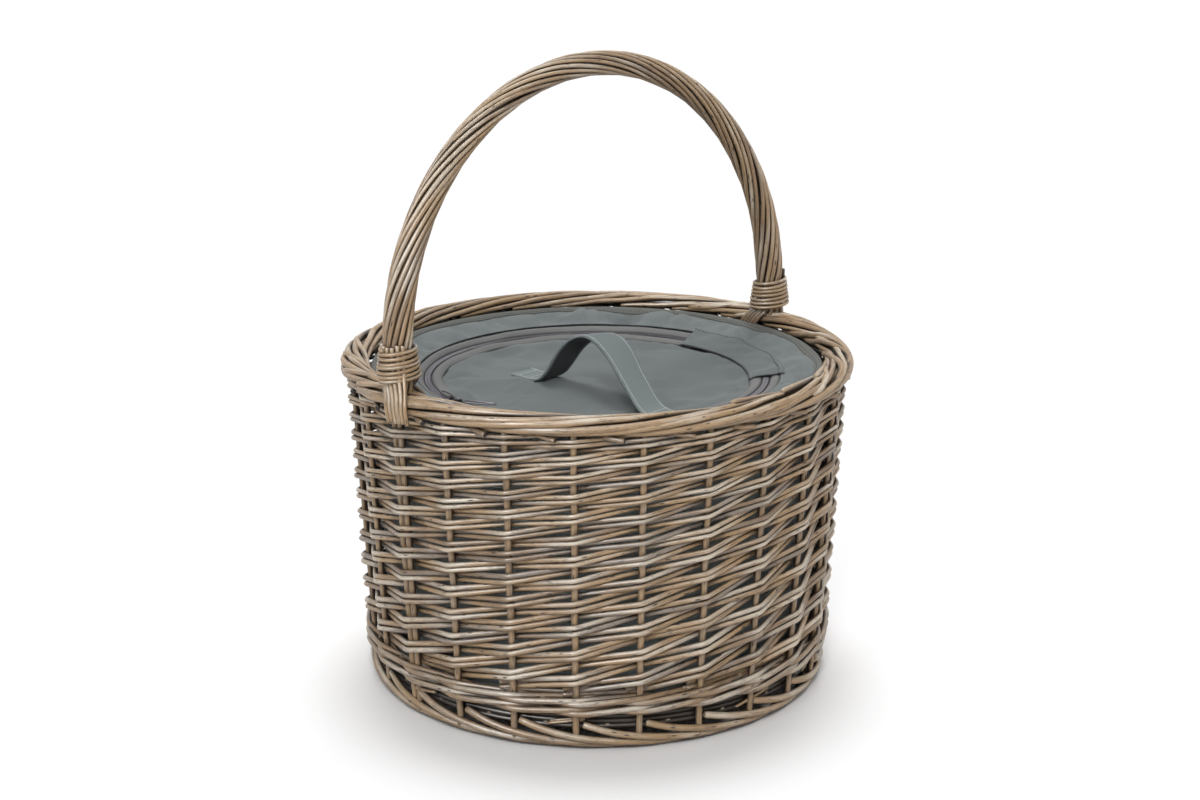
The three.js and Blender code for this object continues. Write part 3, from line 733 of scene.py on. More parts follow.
def ringPath(radius, z):
    count = willow["ringSteps"]
    return polar(radius + np.zeros(count), np.linspace(0, turn, count), np.full(count, z))


def makeBorder():
    size = topBorder
    rng = np.random.default_rng(size["seed"])
    rods = makeStakes()
    addStakeTops(rods, rng)
    addInnerEnds(rods, rng)
    addCrossingRods(rods, rng)
    core = ringPath(size["middle"], size["height"])
    rods.add(core, size["core"], seed=0.3, tint=0.1, proud=0.0, bevel=False)
    piece = rods.make("stakesAndBorder", sides=10, finish=frameFinish)
    return settle(piece, "basket", "willow_frame", "stakes_and_border")


makeBorder()
print("stakes and border made")

# wale: three rods, each in front of two stakes and behind the third, twice round
wale = {
    "rods": 3,
    "rounds": 2,
    "radius": 2.45,
    "low": 29.6,
    "high": 44.2,
    "lift": 3.4,
    "liftShares": (-0.5, 0.5, 0.1),   # by how far along its three stakes a rod is
    "over": 1.6,
    "spare": 0.3,
    "startStake": 3,
    "uneven": 0.3,
    "unevenRadius": 0.05,
    "tints": (0.25, 0.6),
    "proud": 0.3,        # on the circle of stakes, and more by each millimetre outwards
    "proudOut": 0.08,
    "bendRounds": 14,
    "seed": 31,
}


def makeWale():
    size = wale
    rng = np.random.default_rng(size["seed"])
    rods = Rods()
    spaces = size["rounds"] * willow["stakes"]
    for rod in range(size["rods"]):
        stops = []
        for n in range(spaces + 1):
            phase = (n - rod) % size["rods"]
            side = -1 if phase == size["rods"] - 1 else 1
            z = size["low"] + (size["high"] - size["low"]) * n / spaces
            z += size["lift"] * size["liftShares"][phase] + rng.normal(0, size["uneven"])
            spare = sideWeave["twinSpare"] if isTwin(n) else size["spare"]
            spare += size["over"] if phase == 0 else 0
            reach = willow["stakeRadius"] + size["radius"] + spare
            stops.append(polar(circleAt(z) + side * reach, (n + size["startStake"]) * stakeStep, z))
        path = threaded(stops, sideWeave["kink"], size["bendRounds"])
        out = np.hypot(path[:, 0], path[:, 1]) - circleAt(path[:, 2])
        proud = np.clip(out * size["proudOut"] + size["proud"], 0, 1)
        radius = size["radius"] * (1 + wander(rng, len(path), size["unevenRadius"], waves=12))
        rods.add(path, radius, rng.random(), rng.uniform(*size["tints"]), proud)
    piece = rods.make("wale", sides=8, finish=weaveFinish)
    nodes = [f"wale_rod_{i + 1}" for i in range(size["rods"])]
    return settle(piece, "basket", "willow_frame", *nodes)


makeWale()

# foot border: a thick rod leaves beside every stake, sweeps down and runs on below the next ones
footBorder = {
    "radius": 2.95,
    "places": (0.10, 0.32, 0.62, 1.0, 1.5, 2.0, 2.5, 3.0, 3.5),
    "heights": (20.5, 17.6, 14.2, 11.0, 8.0, 5.6, 3.9, 3.3, 3.3),
    "outs": (1.2, 2.6, 3.2, 3.0, 2.2, 0.6, -2.6, -6.0, -9.0),
    "lowest": 3.3,
    "uneven": 0.25,
    "unevenFrom": (4.0, 10.0),   # heights where the unevenness begins and is full
    "placeSpread": (-0.03, 0.05),
    "steps": 40,
    "bendRounds": 6,
    "taper": 0.86,
    "radiusSpread": (0.94, 1.03),
    "tints": (0.5, 0.95),
    "proud": 0.8,
    "looseEnds": 16,
    "looseHeights": (19.0, 22.0),
    "looseOuts": (-1.0, 2.0),
    "looseRuns": (0.4, 0.8),
    "looseClimb": 8.0,
    "looseRadii": (1.0, 1.5),
    "seed": 43,
}


def makeFoot():
    size = footBorder
    rng = np.random.default_rng(size["seed"])
    rods = Rods()
    calm, full = size["unevenFrom"]
    for k in range(willow["stakes"]):
        u = np.linspace(size["places"][0], size["places"][-1], size["steps"])
        z = np.interp(u, size["places"], size["heights"])
        out = np.interp(u, size["places"], size["outs"])
        z = z + wander(rng, len(u), size["uneven"]) * np.clip((z - calm) / (full - calm), 0, 1)
        angle = (k + u + rng.uniform(*size["placeSpread"])) * stakeStep
        path = polar(willow["footCircle"] + out, angle, np.maximum(z, size["lowest"]))
        path = relaxed(path, size["bendRounds"])
        radius = np.linspace(size["radius"], size["radius"] * size["taper"], len(u))
        radius = radius * rng.uniform(*size["radiusSpread"])
        rods.add(path, radius, rng.random(), rng.uniform(*size["tints"]), size["proud"])
    for _ in range(size["looseEnds"]):
        start = rng.uniform(0, willow["stakes"])
        u = np.linspace(0, rng.uniform(*size["looseRuns"]), 8)
        low = rng.uniform(*size["looseHeights"])
        circle = np.full(len(u), willow["footCircle"] + rng.uniform(*size["looseOuts"]))
        path = polar(circle, (start + u) * stakeStep, low + u * size["looseClimb"])
        rods.add(path, rng.uniform(*size["looseRadii"]), rng.random(), tint=0.75, proud=0.6)
    piece = rods.make("footBorder", sides=10, finish=frameFinish)
    return settle(piece, "basket", "willow_frame", "foot_border")


makeFoot()
print("wale and foot made")

# handle: rods twisted round a bow, from foot to foot
handle = {
    "reach": 187.0,
    "spring": 286.0,
    "rise": 192.5,
    "footBelow": 258.0,
    "bowRadius": 6.0,
    "bundleFoot": 12.4,
    "pinch": 1.8,
    "pinchAt": 279.0,
    "bundleTop": 9.4,
    "rods": 13,
    "rodRadius": 2.1,
    "rodSpread": (0.92, 1.05),
    "twist": -2.3,
    "unevenTwist": 0.07,
    "unevenReach": 0.18,
    "tints": (0.4, 0.9),
    "proud": 1.15,
    "unevenProud": 0.25,
    "mostProud": 1.5,
    "lean": 6.0,
    "leanCurve": 1.2,
    "pinchReach": 13.0,
    "swell": 0.7,
    "steps": 150,
    "seed": 61,
}


def archPath(low, steps):
    # points, outward directions and share of the way along the arch, by equal steps
    size = handle
    fine = np.linspace(0, 1, 4000)
    leg = size["spring"] - low
    curve = math.pi * (size["reach"] + size["rise"]) / 2
    along = fine * (2 * leg + curve)
    angle = math.pi * (1 - np.clip((along - leg) / curve, 0, 1))
    x = size["reach"] * np.cos(angle)
    z = size["spring"] + size["rise"] * np.sin(angle) - np.maximum(leg - along, 0)
    z = z - np.maximum(along - leg - curve, 0)
    way = np.concatenate([[0], np.cumsum(np.hypot(np.diff(x), np.diff(z)))])
    share = np.linspace(0, 1, steps)
    px, pz = (np.interp(share * way[-1], way, v) for v in (x, z))
    tx, tz = np.gradient(px), np.gradient(pz)
    length = np.hypot(tx, tz)
    tall = size["spring"] + size["rise"] - low
    lean = size["lean"] * np.clip((pz - low) / tall, 0, 1) ** size["leanCurve"]
    points = np.stack([px, lean, pz], 1)
    outward = np.stack([tz / length, 0 * px, -tx / length], 1)
    return points, outward, share


def makeHandle():
    size = handle
    rng = np.random.default_rng(size["seed"])
    points, outward, share = archPath(size["footBelow"], size["steps"])
    bow = Rods()
    bow.add(points, size["bowRadius"], seed=0.4, tint=0.3, proud=0.2)
    piece = bow.make("handleBow", sides=14, finish=frameFinish)
    settle(piece, "basket", "willow_handle", "handle_bow")
    rods = Rods()
    slim = np.sin(math.pi * share) ** size["swell"]
    outer = size["bundleFoot"] + (size["bundleTop"] - size["bundleFoot"]) * slim
    outer = outer - size["pinch"] * np.exp(-((points[:, 2] - size["pinchAt"]) / size["pinchReach"]) ** 2)
    across = np.array([0, 1.0, 0])
    for j in range(size["rods"]):
        thick = size["rodRadius"] * (outer / size["bundleFoot"]) * rng.uniform(*size["rodSpread"])
        angle = turn * (j / size["rods"] + size["twist"] * share)
        angle = angle + wander(rng, len(share), size["unevenTwist"], waves=4)
        reach = (outer - thick + wander(rng, len(share), size["unevenReach"], waves=5))[:, None]
        path = points + reach * (np.cos(angle)[:, None] * across + np.sin(angle)[:, None] * outward)
        proud = size["proud"] + wander(rng, len(share), size["unevenProud"])
        proud = np.clip(proud, 0, size["mostProud"])
        rods.add(path, thick, rng.random(), rng.uniform(*size["tints"]), proud, path - points)
    piece = rods.make("handleRods", sides=9, finish=frameFinish)
    return settle(piece, "basket", "willow_handle", "handle_rods")


makeHandle()

# binding: one cane wound round each handle foot, wider below, its winds a little tilted
binding = {
    "radius": 1.5,
    "turns": 7.0,
    "low": {"left": 268.4, "right": 263.2},
    "pitch": 3.25,
    "inner": 12.3,
    "flare": 3.0,
    "bulge": 1.0,
    "uneven": 0.55,
    "unevenPitch": 0.16,
    "unevenReach": 0.15,
    "unevenRadius": 0.07,
    "tilt": 1.3,
    "tiltTo": -40.0,
    "unevenTilt": 0.4,
    "stepsPerTurn": 30,
}


def makeBinding(name, side, seed):
    size = binding
    rng = np.random.default_rng(seed)
    way = np.linspace(0, size["turns"], int(size["turns"] * size["stepsPerTurn"]))
    angle = turn * way + (math.pi if side < 0 else 0)
    reach = size["inner"] + size["flare"] * (1 - way / size["turns"])
    reach = reach + wander(rng, len(way), size["unevenReach"], waves=9)
    reach = reach + size["bulge"] * np.clip(np.cos(angle) * side, 0, 1) ** 2
    winds = np.arange(size["turns"] + 2)
    spacing = np.interp(way, winds, np.cumsum(1 + rng.normal(0, size["unevenPitch"], len(winds))))
    climb = (spacing - spacing[0]) / (spacing[-1] - spacing[0])
    z = size["low"][name] + size["pitch"] * size["turns"] * climb
    z = z + wander(rng, len(way), size["uneven"], waves=9)
    tilt = size["tilt"] * (1 + wander(rng, len(way), size["unevenTilt"], waves=5))
    z = z + tilt * np.cos(angle - math.radians(size["tiltTo"]))
    outward = polar(reach, angle, 0 * z)
    path = polar(reach, angle, z) + np.array([side * handle["reach"], 0, 0])
    rods = Rods()
    radius = size["radius"] * (1 + wander(rng, len(way), size["unevenRadius"], waves=9))
    rods.add(path, radius, rng.random(), tint=0.75, proud=0.72, outward=outward)
    piece = rods.make(f"{name}Binding", sides=8, finish=frameFinish)
    return settle(piece, "basket", "willow_handle", f"{name}_binding")


# ties: thin rods held by the binding and bent down over the border
outerTie = {
    "rods": 6,
    "radius": 1.65,
    "radiusSpread": (0.92, 1.08),
    "uneven": 0.15,
    "leg": 11.6,
    "from": 152.0,
    "step": 20.0,
    "top": 293.0,
    "topSpread": 1.6,
    "straightTo": 268.0,
    "overFrom": 34.0,
    "first": 2.0,
    "spacing": 4.3,
    "gap": 1.4,
    "hang": np.array([0, 0.3, 0.8, 1.5, 2.3]),
    "hangFrom": 2.0,
    "low": 238.6,
    "lowSpread": 1.0,
    "facing": (-0.8, -0.5, 0.15),
    "bendRounds": 14,
}
innerTie = {
    "rods": 5,
    "radius": 1.8,
    "radiusSpread": (0.9, 1.1),
    "tints": (0.2, 0.6),
    "spacing": 3.7,
    "tops": (270.0, 264.0),
    "leg": 12.5,
    "draw": 0.92,
    "over": 4.9,
    "flatter": 1.2,
    "from": 112.0,
    "to": 212.0,
    "slant": 15.0,
    "slantCurve": 1.4,
    "steps": 16,
    "bendRounds": 3,
}


def makeOuterTie(name, side, seed):
    size = outerTie
    rng = np.random.default_rng(seed)
    rods = Rods()
    for i in range(size["rods"]):
        bearing = math.radians(size["from"] + size["step"] * i)
        x = -handle["reach"] + size["leg"] * math.cos(bearing)
        y = size["leg"] * math.sin(bearing)
        top = size["top"] + rng.uniform(-1, 1) * size["topSpread"]
        upright = [(x, y, z) for z in np.linspace(top, size["straightTo"], 8)]
        place = -size["first"] - size["spacing"] * i
        # over the border, by its own circle, then straight down
        angle = np.radians(np.linspace(size["overFrom"], 0, 8))
        across = topBorder["across"] + topBorder["buttRadius"] + size["gap"]
        rise = topBorder["up"] + topBorder["buttRadius"] + size["gap"]
        reach = topBorder["middle"] + np.concatenate([across * np.cos(angle), across - size["hang"]])
        low = size["low"] + rng.uniform(-1, 1) * size["lowSpread"]
        hang = np.linspace(topBorder["height"] - size["hangFrom"], low, len(size["hang"]))
        z = np.concatenate([topBorder["height"] + rise * np.sin(angle), hang])
        bent = np.stack([-np.sqrt(reach ** 2 - place ** 2), place + 0 * z, z], 1)
        path = relaxed(np.concatenate([upright, bent]), size["bendRounds"])
        path[:, 1] += wander(rng, len(path), size["uneven"])
        swapped = np.array([-side, -side, 1])
        outward = np.tile(size["facing"], (len(path), 1)) * swapped
        radius = size["radius"] * rng.uniform(*size["radiusSpread"])
        rods.add(path * swapped, radius, rng.random(), tint=1.0, proud=1.0, outward=outward, cut=-1.0)
    piece = rods.make(f"{name}OuterTie", sides=8, finish=frameFinish)
    return settle(piece, "basket", "willow_handle", f"{name}_outer_tie")


def makeInnerTie(name, side, seed):
    size = innerTie
    rng = np.random.default_rng(seed)
    rods = Rods()
    for i in range(size["rods"]):
        place = (i - (size["rods"] - 1) / 2) * size["spacing"]
        angle = np.radians(np.linspace(size["from"], size["to"], size["steps"]))
        over = topBorder["across"] + size["over"]
        share = np.linspace(0, 1, size["steps"])
        x = topBorder["middle"] + over * np.cos(angle)
        y = place + side * size["slant"] * share ** size["slantCurve"]
        z = topBorder["height"] + (over - size["flatter"]) * np.sin(angle)
        leg = [(handle["reach"] - size["leg"], place * size["draw"], top) for top in size["tops"]]
        path = relaxed(np.concatenate([leg, np.stack([x, y, z], 1)]), size["bendRounds"])
        path[:, 0] *= side
        radius = size["radius"] * rng.uniform(*size["radiusSpread"])
        seed = rng.random()
        rods.add(path, radius, seed, rng.uniform(*size["tints"]), proud=0.3, outward=fromBorder(path))
    piece = rods.make(f"{name}InnerTie", sides=8, finish=frameFinish)
    return settle(piece, "basket", "willow_handle", f"{name}_inner_tie")


for name, side, seed in (("left", -1, 71), ("right", 1, 83)):
    makeBinding(name, side, seed)
    makeOuterTie(name, side, seed + 1)
    makeInnerTie(name, side, seed + 2)
print("handle made")

# woven base: rods over and under the spokes, on thick sticks crossed three by three
baseWeave = {
    "height": 19.2,
    "spokes": 24,
    "spokeRadius": 2.0,
    "rodRadius": 1.9,
    "rodSpread": (0.92, 1.05),
    "uneven": 0.3,
    "tints": (0.2, 0.7),
    "inner": 26.0,
    "outer": 171.5,
    "pitch": 4.6,
    "waveFull": 70.0,
    "waveLeast": 0.4,
    "stepsPerSpoke": 6,
    "spokeFrom": 12.0,
    "spokeSpare": 2.0,
    "sticksEachWay": 3,
    "stickRadii": (2.842, 2.9),
    "stickHeight": 12.0,
    "stickReach": 164.0,
    "stickSpacing": 9.0,
    "stickUneven": 0.4,
    "edge": 172.4,
    "edgeSwell": 1.15,
    "edgeHeights": (17.4, 21.6, 25.6),
    "seed": 97,
}


def makeBase():
    size = baseWeave
    rng = np.random.default_rng(size["seed"])
    rods = Rods()
    rings = int((size["outer"] - size["inner"]) / size["pitch"])
    for ring in range(rings):
        radius = size["inner"] + size["pitch"] * (ring + 0.5)
        angle = np.linspace(0, turn, size["spokes"] * size["stepsPerSpoke"] + 1) + rng.random() * turn
        wave = np.cos(angle * size["spokes"] / 2 + math.pi * ring)
        depth = size["spokeRadius"] * np.clip(radius / size["waveFull"], size["waveLeast"], 1)
        reach = radius + wander(rng, len(angle), size["uneven"], waves=6)
        path = polar(reach, angle, size["height"] + wave * depth)
        thick = size["rodRadius"] * rng.uniform(*size["rodSpread"])
        rods.add(path, thick, rng.random(), rng.uniform(*size["tints"]), proud=0.4)
    reach = np.linspace(size["spokeFrom"], size["outer"] + size["spokeSpare"], 12)
    for k in range(size["spokes"]):
        path = polar(reach, (k + 0.5) * turn / size["spokes"], size["height"])
        rods.add(path, size["spokeRadius"], rng.random(), tint=0.4, proud=0.3)
    for z in size["edgeHeights"]:
        path = ringPath(size["edge"] + wander(rng, willow["ringSteps"], size["uneven"], waves=8), z)
        thick = size["rodRadius"] * size["edgeSwell"]
        # painted shade: outward given as inward, so the edge rings' outer sides take the hollows' dark
        # colour, a dark band in the shade between the foot border and the wale
        inwardForShade = -path * (1, 1, 0)
        rods.add(path, thick, rng.random(), tint=0.2, proud=0.0, outward=inwardForShade, bevel=False)
    piece = rods.make("baseWeave", sides=7, finish=weaveFinish)
    settle(piece, "basket", "willow_weave", "base_weave")
    sticks = Rods()
    for way in (0, 1):
        for i in range(size["sticksEachWay"]):
            offset = (i - (size["sticksEachWay"] - 1) / 2) * size["stickSpacing"]
            reach = math.sqrt(size["stickReach"] ** 2 - offset ** 2)
            path = np.full((20, 3), size["stickHeight"])
            path[:, way] = np.linspace(-reach, reach, len(path))
            path[:, 1 - way] = offset + wander(rng, len(path), size["stickUneven"])
            sticks.add(path, size["stickRadii"][way], rng.random(), tint=0.5, proud=0.4)
    piece = sticks.make("baseSticks", sides=10, finish=frameFinish)
    return settle(piece, "basket", "willow_frame", "base_sticks")


makeBase()
print("base made")


# cloth: grids of points in millimetres, given two faces and closed edges
def gridFaces(rows, cols, wrapRows, wrapCols):
    i, j = np.meshgrid(np.arange(rows - (not wrapRows)), np.arange(cols - (not wrapCols)), indexing="ij")
    i, j = i.ravel(), j.ravel()
    nextRow, nextCol = (i + 1) % rows, (j + 1) % cols
    return np.stack([i * cols + j, i * cols + nextCol, nextRow * cols + nextCol, nextRow * cols + j], 1)


def clothMesh(name, points, faces, finish, clothUv):
    mesh = bpy.data.meshes.new(name)
    mesh.from_pydata([tuple(p) for p in points * mm], [], faces)
    layer = mesh.uv_layers.new(name="cloth")
    layer.data.foreach_set("uv", (np.concatenate(clothUv) * mm).ravel())
    shell = bmesh.new()
    shell.from_mesh(mesh)
    bmesh.ops.recalc_face_normals(shell, faces=shell.faces)
    shell.to_mesh(mesh)
    shell.free()
    mesh.shade_smooth()
    mesh.materials.append(finish)
    piece = bpy.data.objects.new(name, mesh)
    scene.collection.objects.link(piece)
    return piece


def spans(grid, axis):
    # mean distance along one way of a grid, for the thread pattern
    steps = np.linalg.norm(np.diff(grid, axis=axis), axis=2).mean(axis=1 - axis)
    return np.concatenate([[0], np.cumsum(steps)])


def loopUv(faces, u, v, cols, wrapCols):
    # one place for each corner of each face; a face across the wrap runs on past the last column
    rows, columns = faces // cols, faces % cols
    past = (columns[:, :1] == cols - 1) & (columns == 0) & wrapCols
    across = np.where(past, u[-1] + u[1] - u[0], u[columns])
    return list(np.stack([across, v[rows]], 2))


def roundGrid(radius, angle, z):
    return np.stack([radius * np.cos(angle), radius * np.sin(angle), z], 2)


def gridNormals(grid, ring):
    across = np.roll(grid, -1, 1) - np.roll(grid, 1, 1) if ring else np.gradient(grid, axis=1)
    normal = np.cross(across, np.gradient(grid, axis=0))
    return normal / np.linalg.norm(normal, axis=2, keepdims=True)


def sheet(name, grid, thick, ring, finish):
    rows, cols = grid.shape[:2]
    offset = gridNormals(grid, ring) * thick / 2
    closed = np.concatenate([grid + offset, (grid - offset)[::-1]])
    faces = gridFaces(2 * rows, cols, True, ring)
    u = spans(grid, 1)
    v = spans(grid, 0)
    v = np.concatenate([v, v[::-1]])
    uv = loopUv(faces, u, v, cols, ring)
    faces = [tuple(int(n) for n in face) for face in faces]
    if not ring:
        for column in (0, cols - 1):
            for row in range(rows - 1):
                far = 2 * rows - 1 - row
                corner = [row, row + 1, far - 1, far]
                faces.append(tuple(n * cols + column for n in corner))
                uv.append(np.array([(u[column], v[n]) for n in corner]))
    return clothMesh(name, closed.reshape(-1, 3), faces, finish, uv)


def turned(name, profile, count, finish, wobble=None):
    # a closed ring or tub: the profile ends on the axis or meets itself
    profile = np.asarray(profile, float)
    angle = np.arange(count) / count * turn
    tub = bool(profile[0, 0] == 0)
    rows = profile[1:-1] if tub else profile
    radius = rows[:, :1] + 0 * angle
    z = rows[:, 1:] + 0 * angle
    if wobble:
        dr, dz = wobble(radius, angle + 0 * radius, z)
        radius, z = radius + dr, z + dz
    grid = roundGrid(radius, angle, z)
    faces = gridFaces(len(rows), count, not tub, True)
    u = spans(grid, 1)
    v = np.concatenate([spans(grid, 0), [0]])
    uv = loopUv(faces, u, v, count, True)
    faces = [tuple(int(n) for n in face) for face in faces]
    points = grid.reshape(-1, 3)
    if tub:
        # close both ends on the axis, where the pattern of threads doesn't show
        points = np.concatenate([points, [(0, 0, profile[0, 1]), (0, 0, profile[-1, 1])]])
        for row, pole in ((0, len(points) - 2), (len(rows) - 1, len(points) - 1)):
            for j in range(count):
                faces.append((row * count + j, row * count + (j + 1) % count, pole))
                uv.append(np.array([(u[j], v[row]), (u[j] + 1, v[row]), (u[j], v[row] + 10)]))
    return clothMesh(name, points, faces, finish, uv)


def dense(profile, step):
    # a profile with points no further apart than a step
    out = [profile[0]]
    for a, b in zip(profile[:-1], profile[1:]):
        count = max(1, int(math.dist(a, b) / step))
        out += [tuple(np.add(a, np.subtract(b, a) * (n + 1) / count)) for n in range(count)]
    return out


def discGrid(radius, count):
    # a square grid pressed onto a disc
    side = np.linspace(-1, 1, count + 1)
    a, b = np.meshgrid(side, side, indexing="ij")
    wide = np.abs(a) >= np.abs(b)
    safe = np.where(wide, np.where(a == 0, 1, a), np.where(b == 0, 1, b))
    swing = math.pi / 4 * np.where(wide, b, a) / safe
    reach = np.where(wide, a, b) * radius
    x = reach * np.where(wide, np.cos(swing), np.sin(swing))
    y = reach * np.where(wide, np.sin(swing), np.cos(swing))
    return x, y


def softNoise(rng, x, y, waveLength, waves=9, spread=(0.7, 1.6)):
    # a smooth uneven field, within about one either way
    total = np.zeros(np.broadcast(x, y).shape)
    for _ in range(waves):
        heading = rng.random() * turn
        length = waveLength * rng.uniform(*spread)
        along = x * math.cos(heading) + y * math.sin(heading)
        total += np.sin(turn * along / length + rng.random() * turn)
    return total / waves ** 0.5


def ringNoise(rng, radius, angle, waveLength):
    return softNoise(rng, radius * np.cos(angle), radius * np.sin(angle), waveLength)


# canvas, for the cloth simulation
canvas = {"mass": 0.15, "stretch": 12, "shear": 4, "bend": 0.06, "air": 3, "quality": 6}


def slackened(grid, ring, pinned, size):
    # cloth held where it is sewn, a little longer than its frame, left to settle within a cap
    rows, cols = grid.shape[:2]
    mesh = bpy.data.meshes.new("slack")
    faces = [tuple(int(n) for n in f) for f in gridFaces(rows, cols, False, ring)]
    mesh.from_pydata([tuple(p) for p in grid.reshape(-1, 3) * mm], [], faces)
    cloth = bpy.data.objects.new("slack", mesh)
    scene.collection.objects.link(cloth)
    group = cloth.vertex_groups.new(name="sewn")
    group.add([int(n) for n in np.flatnonzero(pinned.ravel())], 1.0, "REPLACE")
    modifier = cloth.modifiers.new("cloth", "CLOTH")
    settings = modifier.settings
    settings.quality = canvas["quality"]
    settings.mass = canvas["mass"]
    settings.tension_stiffness = settings.compression_stiffness = canvas["stretch"]
    settings.shear_stiffness = canvas["shear"]
    settings.bending_stiffness = canvas["bend"]
    settings.air_damping = canvas["air"]
    settings.vertex_group_mass = group.name
    settings.shrink_min = -size["slack"]
    settings.effector_weights.gravity = size["sag"]
    modifier.collision_settings.use_collision = False
    modifier.point_cache.frame_end = size["frames"]
    for step in range(1, size["frames"] + 1):
        scene.frame_set(step)
    graph = bpy.context.evaluated_depsgraph_get()
    settled = cloth.evaluated_get(graph).to_mesh()
    flat = np.empty(rows * cols * 3)
    settled.vertices.foreach_get("co", flat)
    scene.frame_set(1)
    bpy.data.objects.remove(cloth)
    moved = flat.reshape(rows, cols, 3) / mm - grid
    return grid + np.tanh(moved / size["cap"]) * size["cap"]


# beads along paths: stitches and zip teeth
def beadTree():
    sizes = {key: "NodeSocketFloat" for key in ("Pitch", "Length", "Width", "Height", "Turn")}
    graph, given = geometryTree("beadsAlongPaths", {**sizes, "Finish": "NodeSocketMaterial"})
    line = graph.node("GeometryNodeMeshToCurve", {}, {"Mesh": given["Geometry"]})
    wanted = {"Curve": line, "Length": given["Pitch"]}
    line = graph.node("GeometryNodeResampleCurve", {"mode": "LENGTH"}, wanted)
    up = graph.node("GeometryNodeInputNamedAttribute", {"data_type": "FLOAT_VECTOR"}, {"Name": "up"})
    tangent = graph.node("GeometryNodeInputTangent")
    facing = graph.node("FunctionNodeAlignRotationToVector", {"axis": "X"}, {"Vector": tangent})
    wanted = {"Rotation": facing, "Vector": up}
    facing = graph.node("FunctionNodeAlignRotationToVector", {"axis": "Z", "pivot_axis": "X"}, wanted)
    extra = graph.node("ShaderNodeCombineXYZ", {}, {2: given["Turn"]})
    extra = graph.node("FunctionNodeEulerToRotation", {}, {0: extra})
    wanted = {"Rotation": facing, "Rotate By": extra}
    facing = graph.node("FunctionNodeRotateRotation", {"rotation_space": "LOCAL"}, wanted)
    bead = graph.node("GeometryNodeMeshUVSphere", {}, {"Segments": 8, "Rings": 5, "Radius": 0.5})
    wanted = {0: given["Length"], 1: given["Width"], 2: given["Height"]}
    size = graph.node("ShaderNodeCombineXYZ", {}, wanted)
    wanted = {"Points": line, "Instance": bead, "Rotation": facing, "Scale": size}
    made = graph.node("GeometryNodeInstanceOnPoints", {}, wanted)
    made = graph.node("GeometryNodeRealizeInstances", {}, {"Geometry": made})
    made = graph.node("GeometryNodeSetShadeSmooth", {}, {"Geometry": made})
    made = graph.node("GeometryNodeSetMaterial", {}, {"Geometry": made, "Material": given["Finish"]})
    graph.node("NodeGroupOutput", {}, {"Geometry": made})
    return graph.tree


def beads(name, paths, ups, pitch, size, finish, across=False):
    # paths in millimetres, each with its up directions
    points = np.concatenate(paths)
    starts = np.cumsum([0] + [len(p) for p in paths])
    edges = [(n, n + 1) for a, b in zip(starts[:-1], starts[1:]) for n in range(a, b - 1)]
    mesh = bpy.data.meshes.new(name)
    mesh.from_pydata([tuple(p) for p in points * mm], edges, [])
    column = np.concatenate([np.broadcast_to(u, p.shape) for u, p in zip(ups, paths)])
    mesh.attributes.new("up", "FLOAT_VECTOR", "POINT").data.foreach_set("vector", column.ravel())
    beads.tree = beads.tree or beadTree()
    values = {"Pitch": pitch * mm, "Turn": math.pi / 2 if across else 0.0, "Finish": finish}
    values.update({key: value * mm for key, value in zip(("Length", "Width", "Height"), size)})
    return grown(name, mesh, beads.tree, values)


beads.tree = None


# cloth finishes: thread pitch in metres, colours as they look in plain light
clothLook = {
    "cloudScale": 26.0,
    "slubScale": (160.0, 1900.0, 1.0),
    "slubShade": 1.2,
    "threadShade": 0.05,
    "edgeShadowShade": 0.07,     # of the cloth's colour, in the painted shadow along an edge
    "edgeShadowWidth": 0.0002,
    "sheen": 0.15,
    "gloss": 0.25,
    "threadRelief": 0.5,
    "slubRelief": 0.8,
    "relief": 0.12,
    "reliefShare": 0.5,
}


def clothFinish(name, colour, thread=0.0006, fuzz=0.12, roughness=0.85, ribbed=False, edgeShadowAcross=None,
                edgeShadowReach=0.0026):
    look = clothLook
    f = Finish(name)
    place = f.node("ShaderNodeUVMap", {"uv_map": "cloth"})
    warp = f.node("ShaderNodeSeparateXYZ", {}, {0: place}, out=0)
    weft = f.node("ShaderNodeSeparateXYZ", {}, {0: place}, out=1)
    overWarp = f.calc("SINE", warp * (turn / thread))
    overWeft = f.calc("SINE", weft * (turn / thread))
    threads = overWarp if ribbed else overWarp * overWeft
    cloud = f.noise(f.place(), look["cloudScale"])
    slub = f.noise(f.stretched(place, look["slubScale"]), 1.0, detail=2.0)
    shade = 1.0 + (cloud - 0.5) * fuzz + (slub - 0.5) * fuzz * look["slubShade"]
    shade = shade + threads * look["threadShade"]
    # painted shadow: darker along both long edges
    if edgeShadowAcross:
        inside = f.calc("MINIMUM", weft, edgeShadowAcross - weft)
        clear = f.smooth(inside, look["edgeShadowWidth"], edgeShadowReach)
        shade = shade * (look["edgeShadowShade"] + clear * (1 - look["edgeShadowShade"]))
    base = f.mix(1.0, colour, f.grey(shade), "MULTIPLY")
    sockets = {"Base Color": base, "Roughness": roughness}
    sockets.update({"Sheen Weight": look["sheen"], "Specular IOR Level": look["gloss"]})
    height = threads * look["threadRelief"] + slub * look["slubRelief"]
    return f.close(sockets, height, look["relief"] * mm, look["reliefShare"])


# threads, foam and metal: darkest shade, what the grain adds to it, and what it does to the roughness
plainLook = {"shade": 0.82, "grainShade": 0.36, "grainRoughness": 0.3, "detail": 4.0}


def plainFinish(name, colour, roughness, grainScale, relief, metallic=0.0):
    look = plainLook
    f = Finish(name)
    grain = f.noise(f.place(), grainScale, look["detail"])
    base = f.mix(1.0, colour, f.grey(look["shade"] + grain * look["grainShade"]), "MULTIPLY")
    rough = roughness + (grain - 0.5) * look["grainRoughness"]
    return f.close({"Base Color": base, "Roughness": rough, "Metallic": metallic}, grain, relief * mm)


